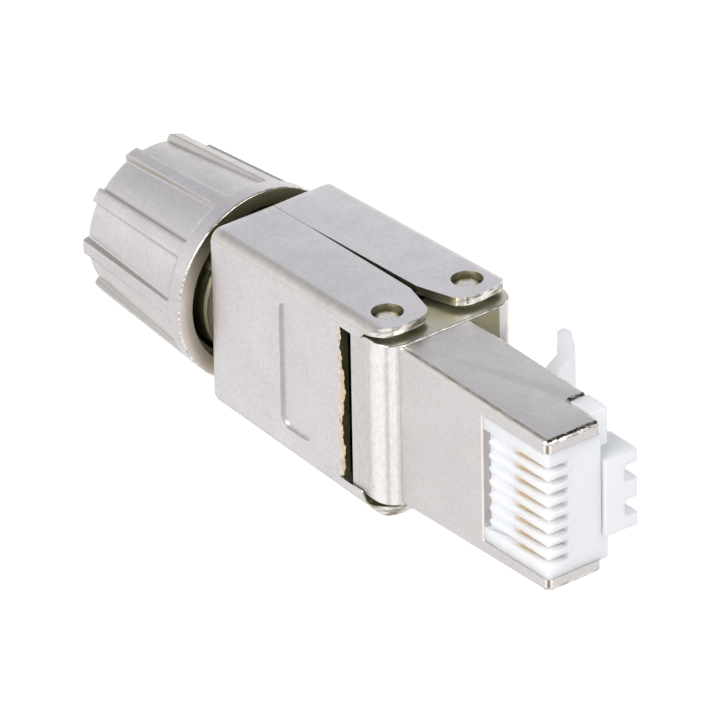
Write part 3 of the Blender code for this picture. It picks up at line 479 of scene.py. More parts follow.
finish = {
    "nose": nickelPlate("nickel_on_zinc_nose", "#DBD6D5", 0.42, grainMm=0.26, grainHeight=0.008, mottle=0.26),
    "shell": nickelPlate("nickel_on_zinc_housing", "#DCD8D9", 0.34, grainMm=0.26, grainHeight=0.006,
        mottle=0.3),
    "nut": nickelPlate("nickel_on_zinc_nut", "#D6D1D1", 0.34, grainMm=0.3, grainHeight=0.02, mottle=0.27),
    # painted shade: recesses, undersides, the seam and hidden faces take a darker olive tint
    "paintedShade": nickelPlate("nickel_recesses_painted_shade", "#959078", 0.42, grainMm=0.25, grainHeight=0.015),
    # painted shade: the rib flanks are darker
    "flank": nickelPlate("nickel_rib_flanks_painted_shade", "#C4C0BA", 0.36, grainMm=0.3, grainHeight=0.02),
    # painted shade: the housing's hollow and the slot's cut face take a darker olive tint
    "hollowShade": nickelPlate("zinc_inside_painted_shade", "#B9B497", 0.55),
    # painted shade: the bracket's top and bottom faces take an olive tint
    "shaded": nickelPlate("nickel_bracket_painted_shade", "#DBD7C6", 0.4),
    # painted reflection: the long rounded edges take a warmer tint
    "fillet": nickelPlate("nickel_long_edges_painted_warm_reflection", "#D4CEC7", 0.3, grainMm=0.7, grainHeight=0.03,
        mottle=0.3),
    "pin": nickelPlate("nickel_steel_pins", "#E4E1DD", 0.26, grainMm=0.6, grainHeight=0.14),
    # pale below, a painted reflection of the bright floor; olive towards the top, painted shade where the
    # housing shades it
    "ringLightAndShade": fadeAlong(nickelPlate("nickel_ring_painted_reflection_and_shade", "#F2E6DC", 0.45, grainMm=0.3, grainHeight=0.02,
        metallic=0.6), "Z", 1.0, 5.5, "#6E6A52"),
    "column": paintedColumnHighlights(nickelPlate("nickel_columns_painted_highlights", "#D9D3D2", 0.32), column),
    # edge finishes: their dark and bright runs along the edge are painted glints and painted dark reflections
    "edge": paintedGlintEdge("nickel_edges_painted_glints", "#8E8877", 0.36, 0.60, 1.0),
    "rimGlints": paintedGlintEdge("nickel_nut_rim_painted_glints", "#B3AEA3", 0.38, 0.62, 0.8),
    "longEdgeGlints": paintedGlintEdge("nickel_long_edges_painted_dark_line", "#B2A998", 0.36, 0.66, 0.8, 0.012, "#D6D0C4"),
    "frontDarkLine": paintedGlintEdge("nickel_front_edges_painted_dark_reflection", "#67614B", 0.45, 0.64, 0.3),
    "gate": brokenGate("zinc_broken_gate", "#EBC49A", "#FFEBD0", 0.3, 0.06),
    "white": mouldedWhite("polycarbonate_white_moulded", "#F1F3F9", "#F8F9FD", moulded),
    # gold at the front of each blade, white from the slot's walls further in
    "gold": fadeAlong(evenFinish("gold_plated_bronze", "#DDC39A", "#C7A77A", 0.4), "X", -3.1, -4, "#F2F1F2"),
    "tin": evenFinish("tin_plated_bronze", "#A9A6A0", "#8D8A84", 0.45),
    "bar": evenFinish("steel_bar_satin", "#E6E3DF", "#D8D4CF", 0.5),
    # painted highlight: near-white on the window's edge, the nose's front corner and the gate scar's rim
    "bright": evenFinish("nickel_window_edge_painted_highlight", "#FBF8F5", "#EFEBE7", 0.4),
    "board": evenFinish("glass_epoxy_board_green", "#1E5B33", "#26693C", 0.45, 0.0),
    "black": evenFinish("nylon_black_moulded", "#1B1B1A", "#242423", 0.5, 0.0),
    "rubber": evenFinish("rubber_black_moulded", "#161616", "#1D1D1C", 0.8, 0.0),
}
print("materials made")

# the clamping nut
nut = {"front": -36.81, "rear": -49.01, "frontRadius": 7.2, "rearRadius": 6.3, "band": 1.4, "ribs": 10,
    "ribAngle": 8.6, "flankAngle": 1.4, "ribFront": 0.22, "ribRear": 0.5, "ribStart": 0.16, "rearRound": 0.3,
    "mouth": 5.97, "mouthDepth": 0.9, "bore": 5.6, "boreEnd": -42.86, "seatEnd": -47.81,
    "seatRadius": 4.6, "cableHole": 4.0, "holeChamfer": 0.25, "rim": 0.12, "mouthChamfer": 0.06}


def offRib(angle, n):
    # angle to the nearest rib's middle
    spacing = 2 * math.pi / n["ribs"]
    return np.abs((angle + spacing / 2) % spacing - spacing / 2)


def nutSurface(n):
    # radius = cone(x) - rib height(x) * step(angle from the nearest rib), the rear corner turned on an arc
    front, rear = n["front"], n["rear"]
    share = np.linspace(0, 1, 16, endpoint=False)
    half, flank = math.radians(n["ribAngle"] / 2), math.radians(n["flankAngle"])
    spacing = 2 * math.pi / n["ribs"]
    oneRib = np.r_[np.linspace(-half - flank, -half, 5, endpoint=False),
        np.linspace(-half, half, 4, endpoint=False), np.linspace(half, half + flank, 5, endpoint=False),
        half + flank + share * (spacing - 2 * half - 2 * flank)]
    angle = (oneRib[None, :] + np.arange(n["ribs"])[:, None] * spacing).ravel()[:, None]
    turn = np.linspace(0, np.pi / 2, 5)
    bandEnd = front - n["band"]
    straight = np.r_[np.linspace(front - 0.3, bandEnd + 0.12, 4),
        bandEnd - np.linspace(0.0, n["ribStart"], 4),
        np.linspace(bandEnd - 0.4, rear + n["rearRound"] + 0.2, 14)]
    x = np.r_[front - n["rim"] * (1 - np.cos(turn)), straight, rear + n["rearRound"] * (1 - np.sin(turn))]
    trim = np.r_[n["rim"] * (1 - np.sin(turn)), 0 * straight, n["rearRound"] * (1 - np.cos(turn))][None, :]
    back = (front - x)[None, :] / (front - rear)
    cone = n["frontRadius"] + (n["rearRadius"] - n["frontRadius"]) * back
    down = np.clip((offRib(angle, n) - half) / flank, 0, 1)
    down = down * down * (3 - 2 * down)
    behind = np.clip((bandEnd - x[None, :]) / n["ribStart"], 0, 1)
    band = n["band"] / (front - rear)
    height = n["ribFront"] + (n["ribRear"] - n["ribFront"]) * np.clip((back - band) / (1 - band), 0, 1)
    radius = cone - height * down * behind - trim
    hole, chamfer, step = n["cableHole"], n["mouthChamfer"], front - n["mouthDepth"]
    inner = np.array([(rear, hole + n["holeChamfer"]), (rear + n["holeChamfer"], hole),
        (n["seatEnd"], hole), (n["seatEnd"], n["seatRadius"]), (n["boreEnd"], n["bore"]),
        (step, n["bore"]), (step, n["mouth"]), (front - chamfer, n["mouth"]), (front, n["mouth"] + chamfer)])
    allX = np.r_[x, inner[:, 0]][None, :] + 0 * angle
    allR = np.concatenate([radius, np.broadcast_to(inner[:, 1], (len(angle), len(inner)))], 1)
    return np.stack([allX, axisY + allR * np.cos(angle), allR * np.sin(angle)], -1)


def paintNut(piece, n):
    # painted shade on the rib flanks, painted glints on the outer front rim, painted shade on everything that
    # faces the axis, and painted reflection and shade on the ring round the mouth
    (x, y, z), (nx, ny, nz) = facesOf(piece)
    out = np.hypot(y - axisY, z)
    pastRib = offRib(np.arctan2(z, y - axisY), n) - math.radians(n["ribAngle"] / 2)
    flanks = between(pastRib, 0, math.radians(n["flankAngle"])) & (x < n["front"] - n["band"])
    # painted shade on the rib flanks
    paint(piece, flanks & (out > n["bore"] + 0.1), 4)
    atFront = x > n["front"] - n["rim"] - 0.01
    # painted glints on the outer front rim
    paint(piece, atFront & (out > n["frontRadius"] - 0.14), 1)
    facesAxis = ny * (y - axisY) + nz * z < -1
    # painted shade on everything that faces the axis
    paint(piece, facesAxis | (nx > 0.7) & (out < n["mouth"]), 2)
    # painted reflection and shade on the ring round the mouth
    paint(piece, (nx > 0.9) & atFront & (out > n["mouth"]), 3)


piece = carry("nut_body", nutSurface(nut), looped=True)
settle(piece, ["nut", "rimGlints", "paintedShade", "ringLightAndShade", "flank"], "nut", ["clamp_nut"])
paintNut(piece, nut)
smoothOnly(piece, 60)
print("nut made")

# clamping ring, seal and braid sleeve inside the nut and neck: each from, to, inner radius and chamfer
inside = {"ring": (-46.36, -43.36, 3.7, 0.12), "seal": (-47.56, -46.46, 3.7, 0.15),
    "sleeve": (-41.66, -34.71, 3.85, 0.05), "sleeveWall": 0.25, "clear": 0.3}


def underSeat(x):
    # clear of the nut's tapered seat
    taper = (nut["boreEnd"] - x) / (nut["boreEnd"] - nut["seatEnd"])
    return nut["bore"] + (nut["seatRadius"] - nut["bore"]) * taper - inside["clear"]


def hoop(name, size, outerLow, outerHigh):
    # a profile of (along, radius) points turned once round the housing's axis, its four corners chamfered
    low, high, inner, edge = size
    along, radius = np.array([(low + edge, inner), (low, inner + edge), (low, outerLow - edge),
        (low + edge, outerLow), (high - edge, outerHigh), (high, outerHigh - edge),
        (high, inner + edge), (high - edge, inner)]).T
    t = (np.arange(96) * 2 * np.pi / 96)[:, None]
    points = np.stack([along + 0 * t, axisY + radius * np.cos(t), radius * np.sin(t)], -1)
    made = carry(name, points, looped=True)
    smoothOnly(made, 40)
    return made


size = inside["ring"]
piece = hoop("clamp_ring", size, underSeat(size[0]), underSeat(size[1]))
settle(piece, ["black"], "gland", ["gland_ring"])
size = inside["seal"]
piece = hoop("cable_seal", size, underSeat(size[0]), underSeat(size[0]))
settle(piece, ["rubber"], "gland", ["cable_grommet"])
size = inside["sleeve"]
outer = size[2] + inside["sleeveWall"]
piece = hoop("braid_sleeve", size, outer, outer)
settle(piece, ["tin"], "housing", ["shield_collar"])
print("ring, seal and sleeve made")

# the housing halves
shell = {"pinX": -18.46, "rear": -35.66, "halfHeight": 7.27, "halfHeightRear": 6.84, "halfWidth": 5.8,
    "halfWidthRear": 5.4, "taperLength": 17.2, "edgeRadius": 0.9, "rearRound": 0.42, "earFront": -16.30,
    "topWall": 0.65, "sideWall": 0.9, "rearWall": 0.95, "hollowRadius": 0.45,
    "seamRear": 0.02, "seamOpens": -31.5, "seamFront": 0.2, "seamStep": 0.05, "split": 1.5, "slant": 1.0,
    "innerRadius": 1.3, "tipY": 3.3, "tipRadius": 8, "cornerRadius": 1.8,
    "slotStart": 2.54, "slotHeight": 5.95, "slotRadius": 0.15, "rimEnd": 0.15, "rimInside": 1.7,
    "rimHeight": 6.6, "rimRun": 0.6, "rimRadius": 0.3, "rimWall": 0.13,
    "panelFrom": -27.66, "panelTo": -24.16, "panelHeight": 4.9, "panelDeep": 0.21, "panelShallow": 0.16,
    "panelRadius": 0.8, "neckRadius": 5.2, "neckBore": 4.3, "neckEnd": -41.96, "threadPitch": 1.25,
    "threadHeight": 0.1, "pinHole": 1.12, "pinSide": 3.43, "edge": 0.09}


def tapered(x, atHinge, atRear):
    # falls in a straight line from the hinge to the rear
    return atHinge + (atHinge - atRear) * (x - shell["pinX"]) / shell["taperLength"]


def shellHalfHeight(x):
    return tapered(x, shell["halfHeight"], shell["halfHeightRear"])


def shellHalfWidth(x):
    return tapered(x, shell["halfWidth"], shell["halfWidthRear"])


def shellRings(x, lessWide, lessHigh, radius, back, steps, side):
    # at each x a rectangle with rounded outer edges; both its sides fall in straight lines towards the rear
    rings = []
    for one, wide, high in zip(x, shellHalfWidth(x) - lessWide, shellHalfHeight(x) - lessHigh):
        loop = roundedLoop(-back, wide, -high, high, radius, steps)
        rings.append(np.stack([np.full(len(loop), one), axisY + side * loop[:, 0], loop[:, 1]], -1))
    return rings


def neckAngles(s, count):
    # half a turn, less the seam's gap at both ends
    first = math.asin(s["seamRear"] / s["neckRadius"])
    return np.linspace(first, np.pi - first, count)


def neckPoints(x, radius, t, side):
    # round the housing's axis on one side: radius times (sin, -cos) of the turn
    return np.stack([x + 0 * t, axisY + side * radius * np.sin(t), -radius * np.cos(t)], -1)


def drillPinHole(made, s, side):
    hole = ringOf(s["pinX"], axisY + side * s["pinSide"], s["pinHole"], 48)
    cut(made, slab("pin_hole", hole, "z", -far, far))


def housingHalf(s, letter, side):
    # a tapered block kept inside its plan, hollowed, with slot, panel, neck and pin holes
    rear, pinX = s["rear"], s["pinX"]
    turn = np.linspace(0, np.pi / 2, 5)
    x = np.r_[rear + s["rearRound"] * (1 - np.cos(turn)), np.linspace(rear + 1, s["earFront"] + 1, 9)]
    less = np.r_[s["rearRound"] * (1 - np.sin(turn)), np.zeros(9)]
    made = carry("housing_" + letter, shellRings(x, less, less, s["edgeRadius"], 1.5, 8, side))
    startX, front, wide = pinX - s["split"], s["earFront"], s["halfWidth"] + 1
    seamY = s["seamFront"] + s["seamStep"]
    plan = roundCorners([(rear - 1, s["seamRear"], 0), (s["seamOpens"], s["seamRear"], 0),
        (startX - 2, s["seamFront"], 0), (startX, seamY, 0.5),
        (front - 0.12, seamY + s["slant"], s["innerRadius"]), (front, s["tipY"], s["tipRadius"]),
        (front - 0.18, s["halfWidth"], s["cornerRadius"]), (startX, s["halfWidth"] + 0.009, 0),
        (startX, wide, 0), (rear - 1, wide, 0)], 10)
    plan[:, 1] = axisY + side * plan[:, 1]
    shape(made, slab("plan", plan, "z", -far, far), "INTERSECT")
    x = np.array([rear + s["rearWall"], front + 3])
    cut(made, carry("hollow", shellRings(x, s["sideWall"], s["topWall"], s["hollowRadius"], 3, 5, side)))
    slotX, rimX, openX = pinX - s["slotStart"], pinX - s["rimEnd"], front + 1
    upper = [(openX, s["rimHeight"], 0), (rimX + s["rimRun"], s["rimHeight"], s["rimRadius"]),
        (rimX, s["slotHeight"], s["rimRadius"]), (slotX, s["slotHeight"], s["slotRadius"])]
    slot = roundCorners([(x, -z, r) for x, z, r in upper[::-1]] + upper, 5)
    near, past = sorted((axisY - side, axisY + side * wide))
    cut(made, slab("slot", slot, "y", near, past))
    deep = shellHalfWidth(pinX) - s["rimWall"]
    low, high = sorted((axisY - side, axisY + side * deep))
    cut(made, box("over_column", (pinX - s["rimInside"], low, -s["rimHeight"]),
        (openX, high, s["rimHeight"])))
    loop = roundedLoop(s["panelFrom"], s["panelTo"], -s["panelHeight"], s["panelHeight"], s["panelRadius"], 8)
    share = (loop[:, 0] - s["panelFrom"]) / (s["panelTo"] - s["panelFrom"])
    floor = shellHalfWidth(loop[:, 0]) - s["panelDeep"] + (s["panelDeep"] - s["panelShallow"]) * share
    cut(made, carry("panel", [place("y", inset(loop, 0.03), axisY + side * floor),
        place("y", inset(loop, -0.1), axisY + side * (floor + 1))]))
    t = neckAngles(s, 41)
    ends = s["neckEnd"], rear + 0.5
    join(made, carry("neck", [neckPoints(x, s["neckRadius"], t, side) for x in ends]))
    bore = ringOf(axisY, 0, s["neckBore"], 72)
    cut(made, slab("bore", bore, "x", s["neckEnd"] - 1, rear + s["rearWall"] + 1))
    drillPinHole(made, s, side)
    softenEdges(made, s["edge"], 3, 32, 1)
    return made


def paintHalf(piece, s, side):
    # outer long edges with a painted warm reflection, ear fronts with painted glints, then painted shade on
    # the hidden faces and in the hollow
    (x, y, z), (nx, ny, nz) = facesOf(piece)
    high, level, across, outwards = np.abs(z), np.abs(nz), side * (y - axisY), side * ny
    slotX, near = s["pinX"] - s["slotStart"], 0.02
    longEdges = between(level, 0.2, 0.97) & (high > 5.9) & (outwards > 0.2) & (x > s["rear"] + 0.3)
    earFronts = (high > s["rimHeight"]) & (level < 0.3) & (x > slotX + 2.9) & (across > s["seamFront"] + 0.9)
    inHole = (np.hypot(x - s["pinX"], across - s["pinSide"]) < s["pinHole"] + near) & (level < 0.5)
    underEar = (nz * np.sign(z) < -0.5) & (high > s["slotHeight"] + 0.1)
    seam = (outwards < -0.7) & (across < 1.2)
    rear = x < s["rear"] + 0.01
    inHollow = (across < shellHalfWidth(x) - s["sideWall"] + near) & (
        high < shellHalfHeight(x) - s["topWall"] + near)
    slotEdge = (nx > 0.7) & (np.abs(x - slotX) < 0.1)
    # painted warm reflection on the outer long edges
    paint(piece, longEdges, 4)
    # painted glints on the ear fronts
    paint(piece, earFronts, 1)
    paint(piece, inHole | underEar | seam | rear, 2)  # painted shade: these hidden faces are darker and olive
    # painted shade in the hollow and on the slot's cut face
    paint(piece, inHollow | slotEdge, 3)


scar = {"width": 0.34, "share": 0.78, "lift": 0.03, "lean": 0.6, "thick": 0.05, "highlightRim": 0.045}


def gateScar(s, c, letter, side):
    # the torn face of the slot's rear edge: a strip that leans outwards, its inner edge wandering by a sum of
    # sines and narrowing at both ends, its face crumbled by sines of both directions
    z = np.linspace(-s["slotHeight"] + 0.1, s["slotHeight"] - 0.1, 150)[:, None]
    ragged = 0.12 * np.sin(1.1 * z + 0.6) + 0.05 * np.sin(4.3 * z + side) + 0.03 * np.sin(11.7 * z)
    ragged += 0.02 * np.sin(23 * z + 2)
    width = c["width"] + ragged - 0.2 * np.clip((z - 3.2) / 2.4, 0, 1) - 0.12 * np.clip((-3.6 - z) / 2, 0, 1)
    width *= c["share"]
    t = np.array([0.0, 0.14, 0.4, 0.7, 1.0])[None, :]
    crumbs = c["lift"] * np.sin(9 * z + 7 * t) * np.sin(5.1 * z + 2 * t) * (1 - t)
    lift = c["lift"] + crumbs + c["lean"] * width * t
    slotX = s["pinX"] - s["slotStart"]
    y = axisY + side * (shellHalfWidth(slotX) - 0.01 - width * t)
    top = np.stack([slotX + lift, y, z + 0 * t], -1)
    below = np.stack([slotX - c["thick"] + 0 * lift, y, z + 0 * t], -1)
    return carry("gate_scar_" + letter, np.concatenate([top, below[:, ::-1]], 1))


def threadHalf(s, letter, side):
    # radius = neck + height * (1 - 2 * |wave along x, shifted by the turn|): a shallow cast thread on half
    # of the neck, which runs out at both ends
    t = neckAngles(s, 49)[:, None]
    x = np.linspace(s["neckEnd"] + 0.1, s["rear"] - 0.05, 90)[None, :]
    wave = np.abs(((x / s["threadPitch"] + side * t / (2 * np.pi)) % 1) * 2 - 1)
    runOut = np.minimum(1, np.minimum(x - x[0, 0], x[0, -1] - x) / 0.15)
    outside = neckPoints(x, s["neckRadius"] + s["threadHeight"] * (1 - 2 * wave) * runOut, t, side)
    inside = neckPoints(x, s["neckRadius"] - 0.3 + 0 * (x + t), t, side)
    return carry("neck_thread_" + letter, np.concatenate([outside, inside[:, ::-1]], 1))


for letter, side in sides:
    body = "shell_" + letter
    piece = housingHalf(shell, letter, side)
    settle(piece, ["shell", "edge", "paintedShade", "hollowShade", "fillet"], body, [body])
    paintHalf(piece, shell, side)
    piece = gateScar(shell, scar, letter, side)
    smoothOnly(piece, 50)
    settle(piece, ["gate", "bright"], body, [])
    centre = facesOf(piece)[0]
    rim = shellHalfWidth(shell["pinX"] - shell["slotStart"]) - scar["highlightRim"]
    # painted highlight: a thin near-white strip along the scar's outer edge
    paint(piece, side * (centre[1] - axisY) > rim, 1)
    piece = threadHalf(shell, letter, side)
    smoothOnly(piece, 60)
    # painted shade: the thread in the gap under the nut is darker and olive
    settle(piece, ["paintedShade"], body, [])

# the hinge pins; each end is a staked dome, given as how far down and how wide
pin = {"halfLength": 6.92, "ends": [(0, 0.45), (0.05, 0.72), (0.16, 0.93), (0.34, 1.05)]}
for letter, side in sides:
    down, r = np.array(pin["ends"]).T
    z = np.r_[down - pin["halfLength"], (pin["halfLength"] - down)[::-1]]
    rings = [place("z", ringOf(shell["pinX"], axisY + side * shell["pinSide"], one, 48), at)
        for at, one in zip(z, np.r_[r, r[::-1]])]
    piece = carry("pin_" + letter + "_turned", rings)
    smoothOnly(piece, 30)
    settle(piece, ["pin"], "housing", ["pin_" + letter])
print("housing made")

# the casting: nose and hinge bracket
nose = {"halfHeight": 5.84, "rootHalfHeight": 6.12, "halfDepth": 3.1, "root": -15.6, "plate": 0.96,
    "contactWall": 0.65, "latchWall": 0.6, "window": -6.9, "windowLip": 0.15, "notch": -3.3,
    "notchDepth": 1.6, "edgeRadius": 0.34, "frontRadius": 0.5, "edge": 0.09}
bracket = {"front": -15.6, "rear": -19.72, "halfHeight": 6.23, "halfWidth": 5.62, "cornerRadius": 1.7,
    "passage": 1.95, "passageHeight": 5.18, "rim": 0.1}


def casting(n, b):
    # the nose's plan carried up its height and grown towards its root, joined to the bracket's plan
    d, y = n["halfDepth"], n["halfDepth"] - n["notchDepth"]
    plan = roundCorners([(n["root"] - 0.5, -d, 0), (0, -d, n["frontRadius"]), (0, y, 0.36),
        (n["notch"], y, 0.2), (n["notch"], d, 0.38), (n["root"] - 0.5, d, 0)], 8)
    made = slab("nose_and_bracket", plan, "z", -n["halfHeight"], n["halfHeight"], n["edgeRadius"], 5)
    inner = n["halfHeight"] - n["plate"]
    cut(made, box("cavity", (n["root"] - 1, -d + n["contactWall"], -inner), (1, d - n["latchWall"], inner)))
    cut(made, box("window", (n["window"], -d - 1, -inner), (2, -d + 1, inner)))
    over = 0.01
    lip = np.array([(n["window"] - n["windowLip"], -d - over), (n["window"] + over, -d - over),
        (n["window"] + over, -d + 0.1)])
    cut(made, slab("window_lip", lip, "z", over - inner, inner - over))
    points = pointsOf(made.data)
    grow = (n["rootHalfHeight"] - n["halfHeight"]) * np.clip(points[:, 0] / n["root"], 0, 1.1)
    outerPart = np.clip((np.abs(points[:, 2]) - inner - 0.1) / 0.3, 0, 1)
    points[:, 2] += np.sign(points[:, 2]) * grow * outerPart
    setPoints(made.data, points)
    low, high = axisY - b["halfWidth"], axisY + b["halfWidth"]
    plan = roundCorners([(b["rear"], low, 0), (b["front"], low, b["cornerRadius"]),
        (b["front"], high, b["cornerRadius"]), (b["rear"], high, 0)], 14)
    join(made, slab("bracket", plan, "z", -b["halfHeight"], b["halfHeight"], b["rim"], 3))
    cut(made, box("passage", (b["rear"] - 1, axisY - b["passage"], -b["passageHeight"]),
        (b["front"] - 0.5, axisY + b["passage"], b["passageHeight"])))
    for letter, side in sides:
        drillPinHole(made, shell, side)
    softenEdges(made, n["edge"], 3, 35, 1)
    return made


def paintCasting(piece, n, b):
    # painted shade on the bracket's hidden faces, painted reflection, dark lines and glints on the nose's
    # edges, painted highlights on window and front corner, and last painted highlights on the columns
    (x, y, z), (nx, ny, nz) = facesOf(piece)
    high, level, aside = np.abs(z), np.abs(nz), np.abs(y - axisY)
    ofBracket, near = x < b["front"] + 0.01, 0.02
    inPassage = (high < b["passageHeight"] + near) & (aside < b["passage"] + near)
    # painted shade on the bracket's hidden faces
    paint(piece, ofBracket & (inPassage | (x < b["rear"] + near)), 2)
    longEdges = (x > b["front"] + 0.1) & (high > 5.4)
    # painted warm reflection on the long edges
    paint(piece, longEdges & between(level, 0.2, 0.84), 3)
    # painted dark line with painted glints along the top of the long edges
    paint(piece, longEdges & between(level, 0.84, 0.995) & (np.abs(nx) < 0.1), 6)
    fromWindow = np.abs(x - n["window"])
    lip = (nx > 0.3) & (ny < -0.7) & (fromWindow < 0.3) & (high < 5)
    # painted highlight on the window's lip and edge face
    paint(piece, (nx > 0.7) & (fromWindow < 0.1) | lip, 7)
    # painted shade on the bracket's top and bottom faces
    paint(piece, (x < b["front"]) & (high > b["halfHeight"] - near), 8)
    bracketRim = (np.abs(x - b["front"] + 1) < 1.02) & (z > b["halfHeight"] - 0.11) & (nx > 0)
    # painted glints on the bracket's front rim
    paint(piece, bracketRim & between(nz, 0.2, 0.98), 1)
    frontCorner = (x > -0.62) & (y < -2.5) & (high > 4.9) & (level < 0.5)
    # painted highlight on the rounded front corner
    paint(piece, frontCorner & (nx > 0.2) & (ny < -0.2), 7)
    paint(piece, frontCorner & (np.abs(nx + ny) < 0.16), 2)  # painted dark reflection: the dark line down its middle
    frontEdge = (x > n["notch"] - 1) & (high > 5.2) & (nx > 0.08)
    # painted glints on the front edges, and a painted dark reflection along their upper part
    paint(piece, frontEdge & between(level, 0.1, 0.6), 1)
    paint(piece, frontEdge & between(level, 0.6, 0.995), 5)
    columns = ofBracket & (level < 0.2) & (aside > shell["pinSide"]) & (x > b["rear"] + 0.01)
    # painted highlight bands on the columns
    paint(piece, columns & (ny * (y - axisY) > -0.01), 4)


piece = casting(nose, bracket)
settle(piece, ["nose", "edge", "paintedShade", "fillet", "column", "frontDarkLine", "longEdgeGlints", "bright", "shaded"],
    "housing", ["plug_frame"])
paintCasting(piece, nose, bracket)
print("casting made")

# the white insert: comb of ribs, cheeks and the blocks in the nose's notch
insert = {"face": -3.05, "floor": -1.3, "half": 4.86, "rear": -8.4, "ribEnd": -6.3, "cheekEnd": -6.86,
    "pitch": 1.016, "slot": 0.55, "slots": 8, "front": -0.015, "frontY": 1.52, "backY": 2.4, "step": -3.4,
    "block": (-3.28, -1.1, 1.52, 3.1), "blockLow": 3.2, "blockHigh": 5.84, "edge": 0.04,
    "ramp": [(-6.3, -2.89), (-4.0, -2.25), (-4.0, -1.8), (-6.3, -1.8)]}


def comb(i):
    # plans with rounded corners, each carried straight and joined: body, ribs at the pitch, cheeks and blocks
    body = roundCorners([(i["rear"], i["floor"], 0), (i["front"], i["floor"], 0),
        (i["front"], i["frontY"], 0.1), (i["step"], i["frontY"], 0), (i["step"], i["backY"], 0.1),
        (i["rear"], i["backY"], 0.1)], 4)
    made = slab("insert_body", body, "z", 0.012 - i["half"], i["half"] - 0.012)
    rib, root = i["pitch"] - i["slot"], i["floor"] + 0.4
    ribRound, frontRound = rib * 0.49, 0.06
    outer = (i["slots"] - 1) / 2 * i["pitch"] + i["slot"] / 2
    for k in range(i["slots"] - 1):
        z = (k - (i["slots"] - 2) / 2) * i["pitch"]
        outline = roundCorners([(i["ribEnd"], z - rib / 2, ribRound), (0, z - rib / 2, frontRound),
            (0, z + rib / 2, frontRound), (i["ribEnd"], z + rib / 2, ribRound)], 5)
        join(made, slab("rib", outline, "y", i["face"], root, 0.05, 2))
    # the slots' floors ramp up behind the blades
    join(made, slab("ramps", i["ramp"], "z", 0.01 - outer, outer - 0.01))
    x0, x1, y0, y1 = i["block"]
    for letter, side in sides:
        low, high = sorted((side * outer, side * i["half"]))
        outline = roundCorners([(i["cheekEnd"], i["face"], 0.05), (0, i["face"], 0.25), (0, root, 0),
            (i["cheekEnd"], root, 0)], 5)
        join(made, slab("cheek", outline, "z", low, high, 0.03, 2))
        blockLow = i["blockLow"] - 0.2 * side
        low, high = sorted((side * blockLow, side * i["blockHigh"]))
        outline = roundCorners([(x0, y0, 0), (x1, y0, 0), (x1, y1, 0.35), (x0, y1, 0.15)], 5)
        join(made, slab("block", outline, "z", low, high, 0.12, 3))
        low, high = sorted((side * (blockLow + 0.02), side * (i["half"] - 0.03)))
        join(made, box("root", (x0 + 0.02, i["frontY"] - 0.3, low), (x1 - 0.02, y0 + 0.4, high)))
    softenEdges(made, i["edge"], 2, 40)
    return made


piece = comb(insert)
settle(piece, ["white"], "housing", ["contact_insert"])
print("insert made")

# the latch: three-pronged head, sprung arm, shoulders and an upturned lever
latch = {"z": -0.2, "half": 2.9, "shoulder": -7.4, "waist": -10.4, "waistHalf": 1.6, "tineGap": 1.3,
    "midTine": 1.4, "gapDepth": 1.2, "tineLength": 3.5, "tipRound": 0.42, "edge": 0.09,
    "head": [(0.3, 1.65, 0.15), (0.3, 4.45, 0.2), (-2.7, 4.45, 0.1), (-2.7, 3.65, 0), (-2.4, 2.55, 0.4),
        (-0.3, 1.65, 0.1)],
    "path": [(-2.2, 3.9, 0), (-11.2, 6.05, 2.4), (-12.65, 8.85, 1.1), (-15.3, 10.75, 0)],
    "thick": ((0, 0.8), (7.5, 0.85), (10.5, 1.2), (13.5, 1.2), (16.6, 0.85))}


def armSurface(a):
    # a rounded rectangle carried along the arm's path; its width steps at the shoulders, its thickness eases
    line = roundCorners(a["path"], 10)
    length = np.r_[[0], np.cumsum(np.linalg.norm(np.diff(line, axis=0), axis=1))]
    tip = length[-1] - a["tipRound"] * (1 - np.sin(np.linspace(0, np.pi / 2, 7)))
    at = np.unique(np.round(np.r_[np.linspace(0, length[-1] - 0.5, 60), tip], 4))
    x, y = np.interp(at, length, line[:, 0]), np.interp(at, length, line[:, 1])
    step = np.gradient(np.stack([x, y], -1), axis=0)
    step /= np.linalg.norm(step, axis=1)[:, None]
    across = np.stack([-step[:, 1], step[:, 0]], -1)
    reach, thick = np.array(a["thick"]).T
    halfT = np.interp(at, reach, thick) / 2
    pastTip = np.clip((at - (length[-1] - a["tipRound"])) / a["tipRound"], 0, 0.985)
    halfT *= np.sqrt(np.clip(1 - pastTip ** 2, 0, 1))
    ease = np.clip((a["shoulder"] - x) / 0.12, 0, 1) * np.clip((x - a["waist"]) / 0.5, 0, 1)
    halfW = a["half"] - 0.05 + (a["waistHalf"] - a["half"]) * ease
    rings = []
    for k in range(len(at)):
        radius = min(0.16, halfT[k] * 0.95)
        loop = roundedLoop(-halfT[k], halfT[k], -halfW[k], halfW[k], radius, 4)
        rings.append(np.stack([x[k] + across[k, 0] * loop[:, 0], y[k] + across[k, 1] * loop[:, 0],
            a["z"] + loop[:, 1]], -1))
    return rings


def latchPiece(a):
    # the head's side outline carried across, joined to the arm, with two gaps cut between its prongs
    made = slab("latch_moulding", roundCorners(a["head"], 5), "z", a["z"] - a["half"], a["z"] + a["half"])
    join(made, carry("arm", armSurface(a)))
    frontX, topY = a["head"][1][:2]
    for letter, side in sides:
        near = a["midTine"] / 2
        low, high = sorted(a["z"] + side * out for out in (near, near + a["tineGap"]))
        loop = roundedLoop(topY - a["gapDepth"], 6, low, high, 0.3, 5)
        cut(made, slab("gap", loop, "x", frontX - a["tineLength"], 1))
    softenEdges(made, a["edge"], 3, 35)
    return made


piece = latchPiece(latch)
settle(piece, ["white"], "latch", ["latch"])
print("latch made")

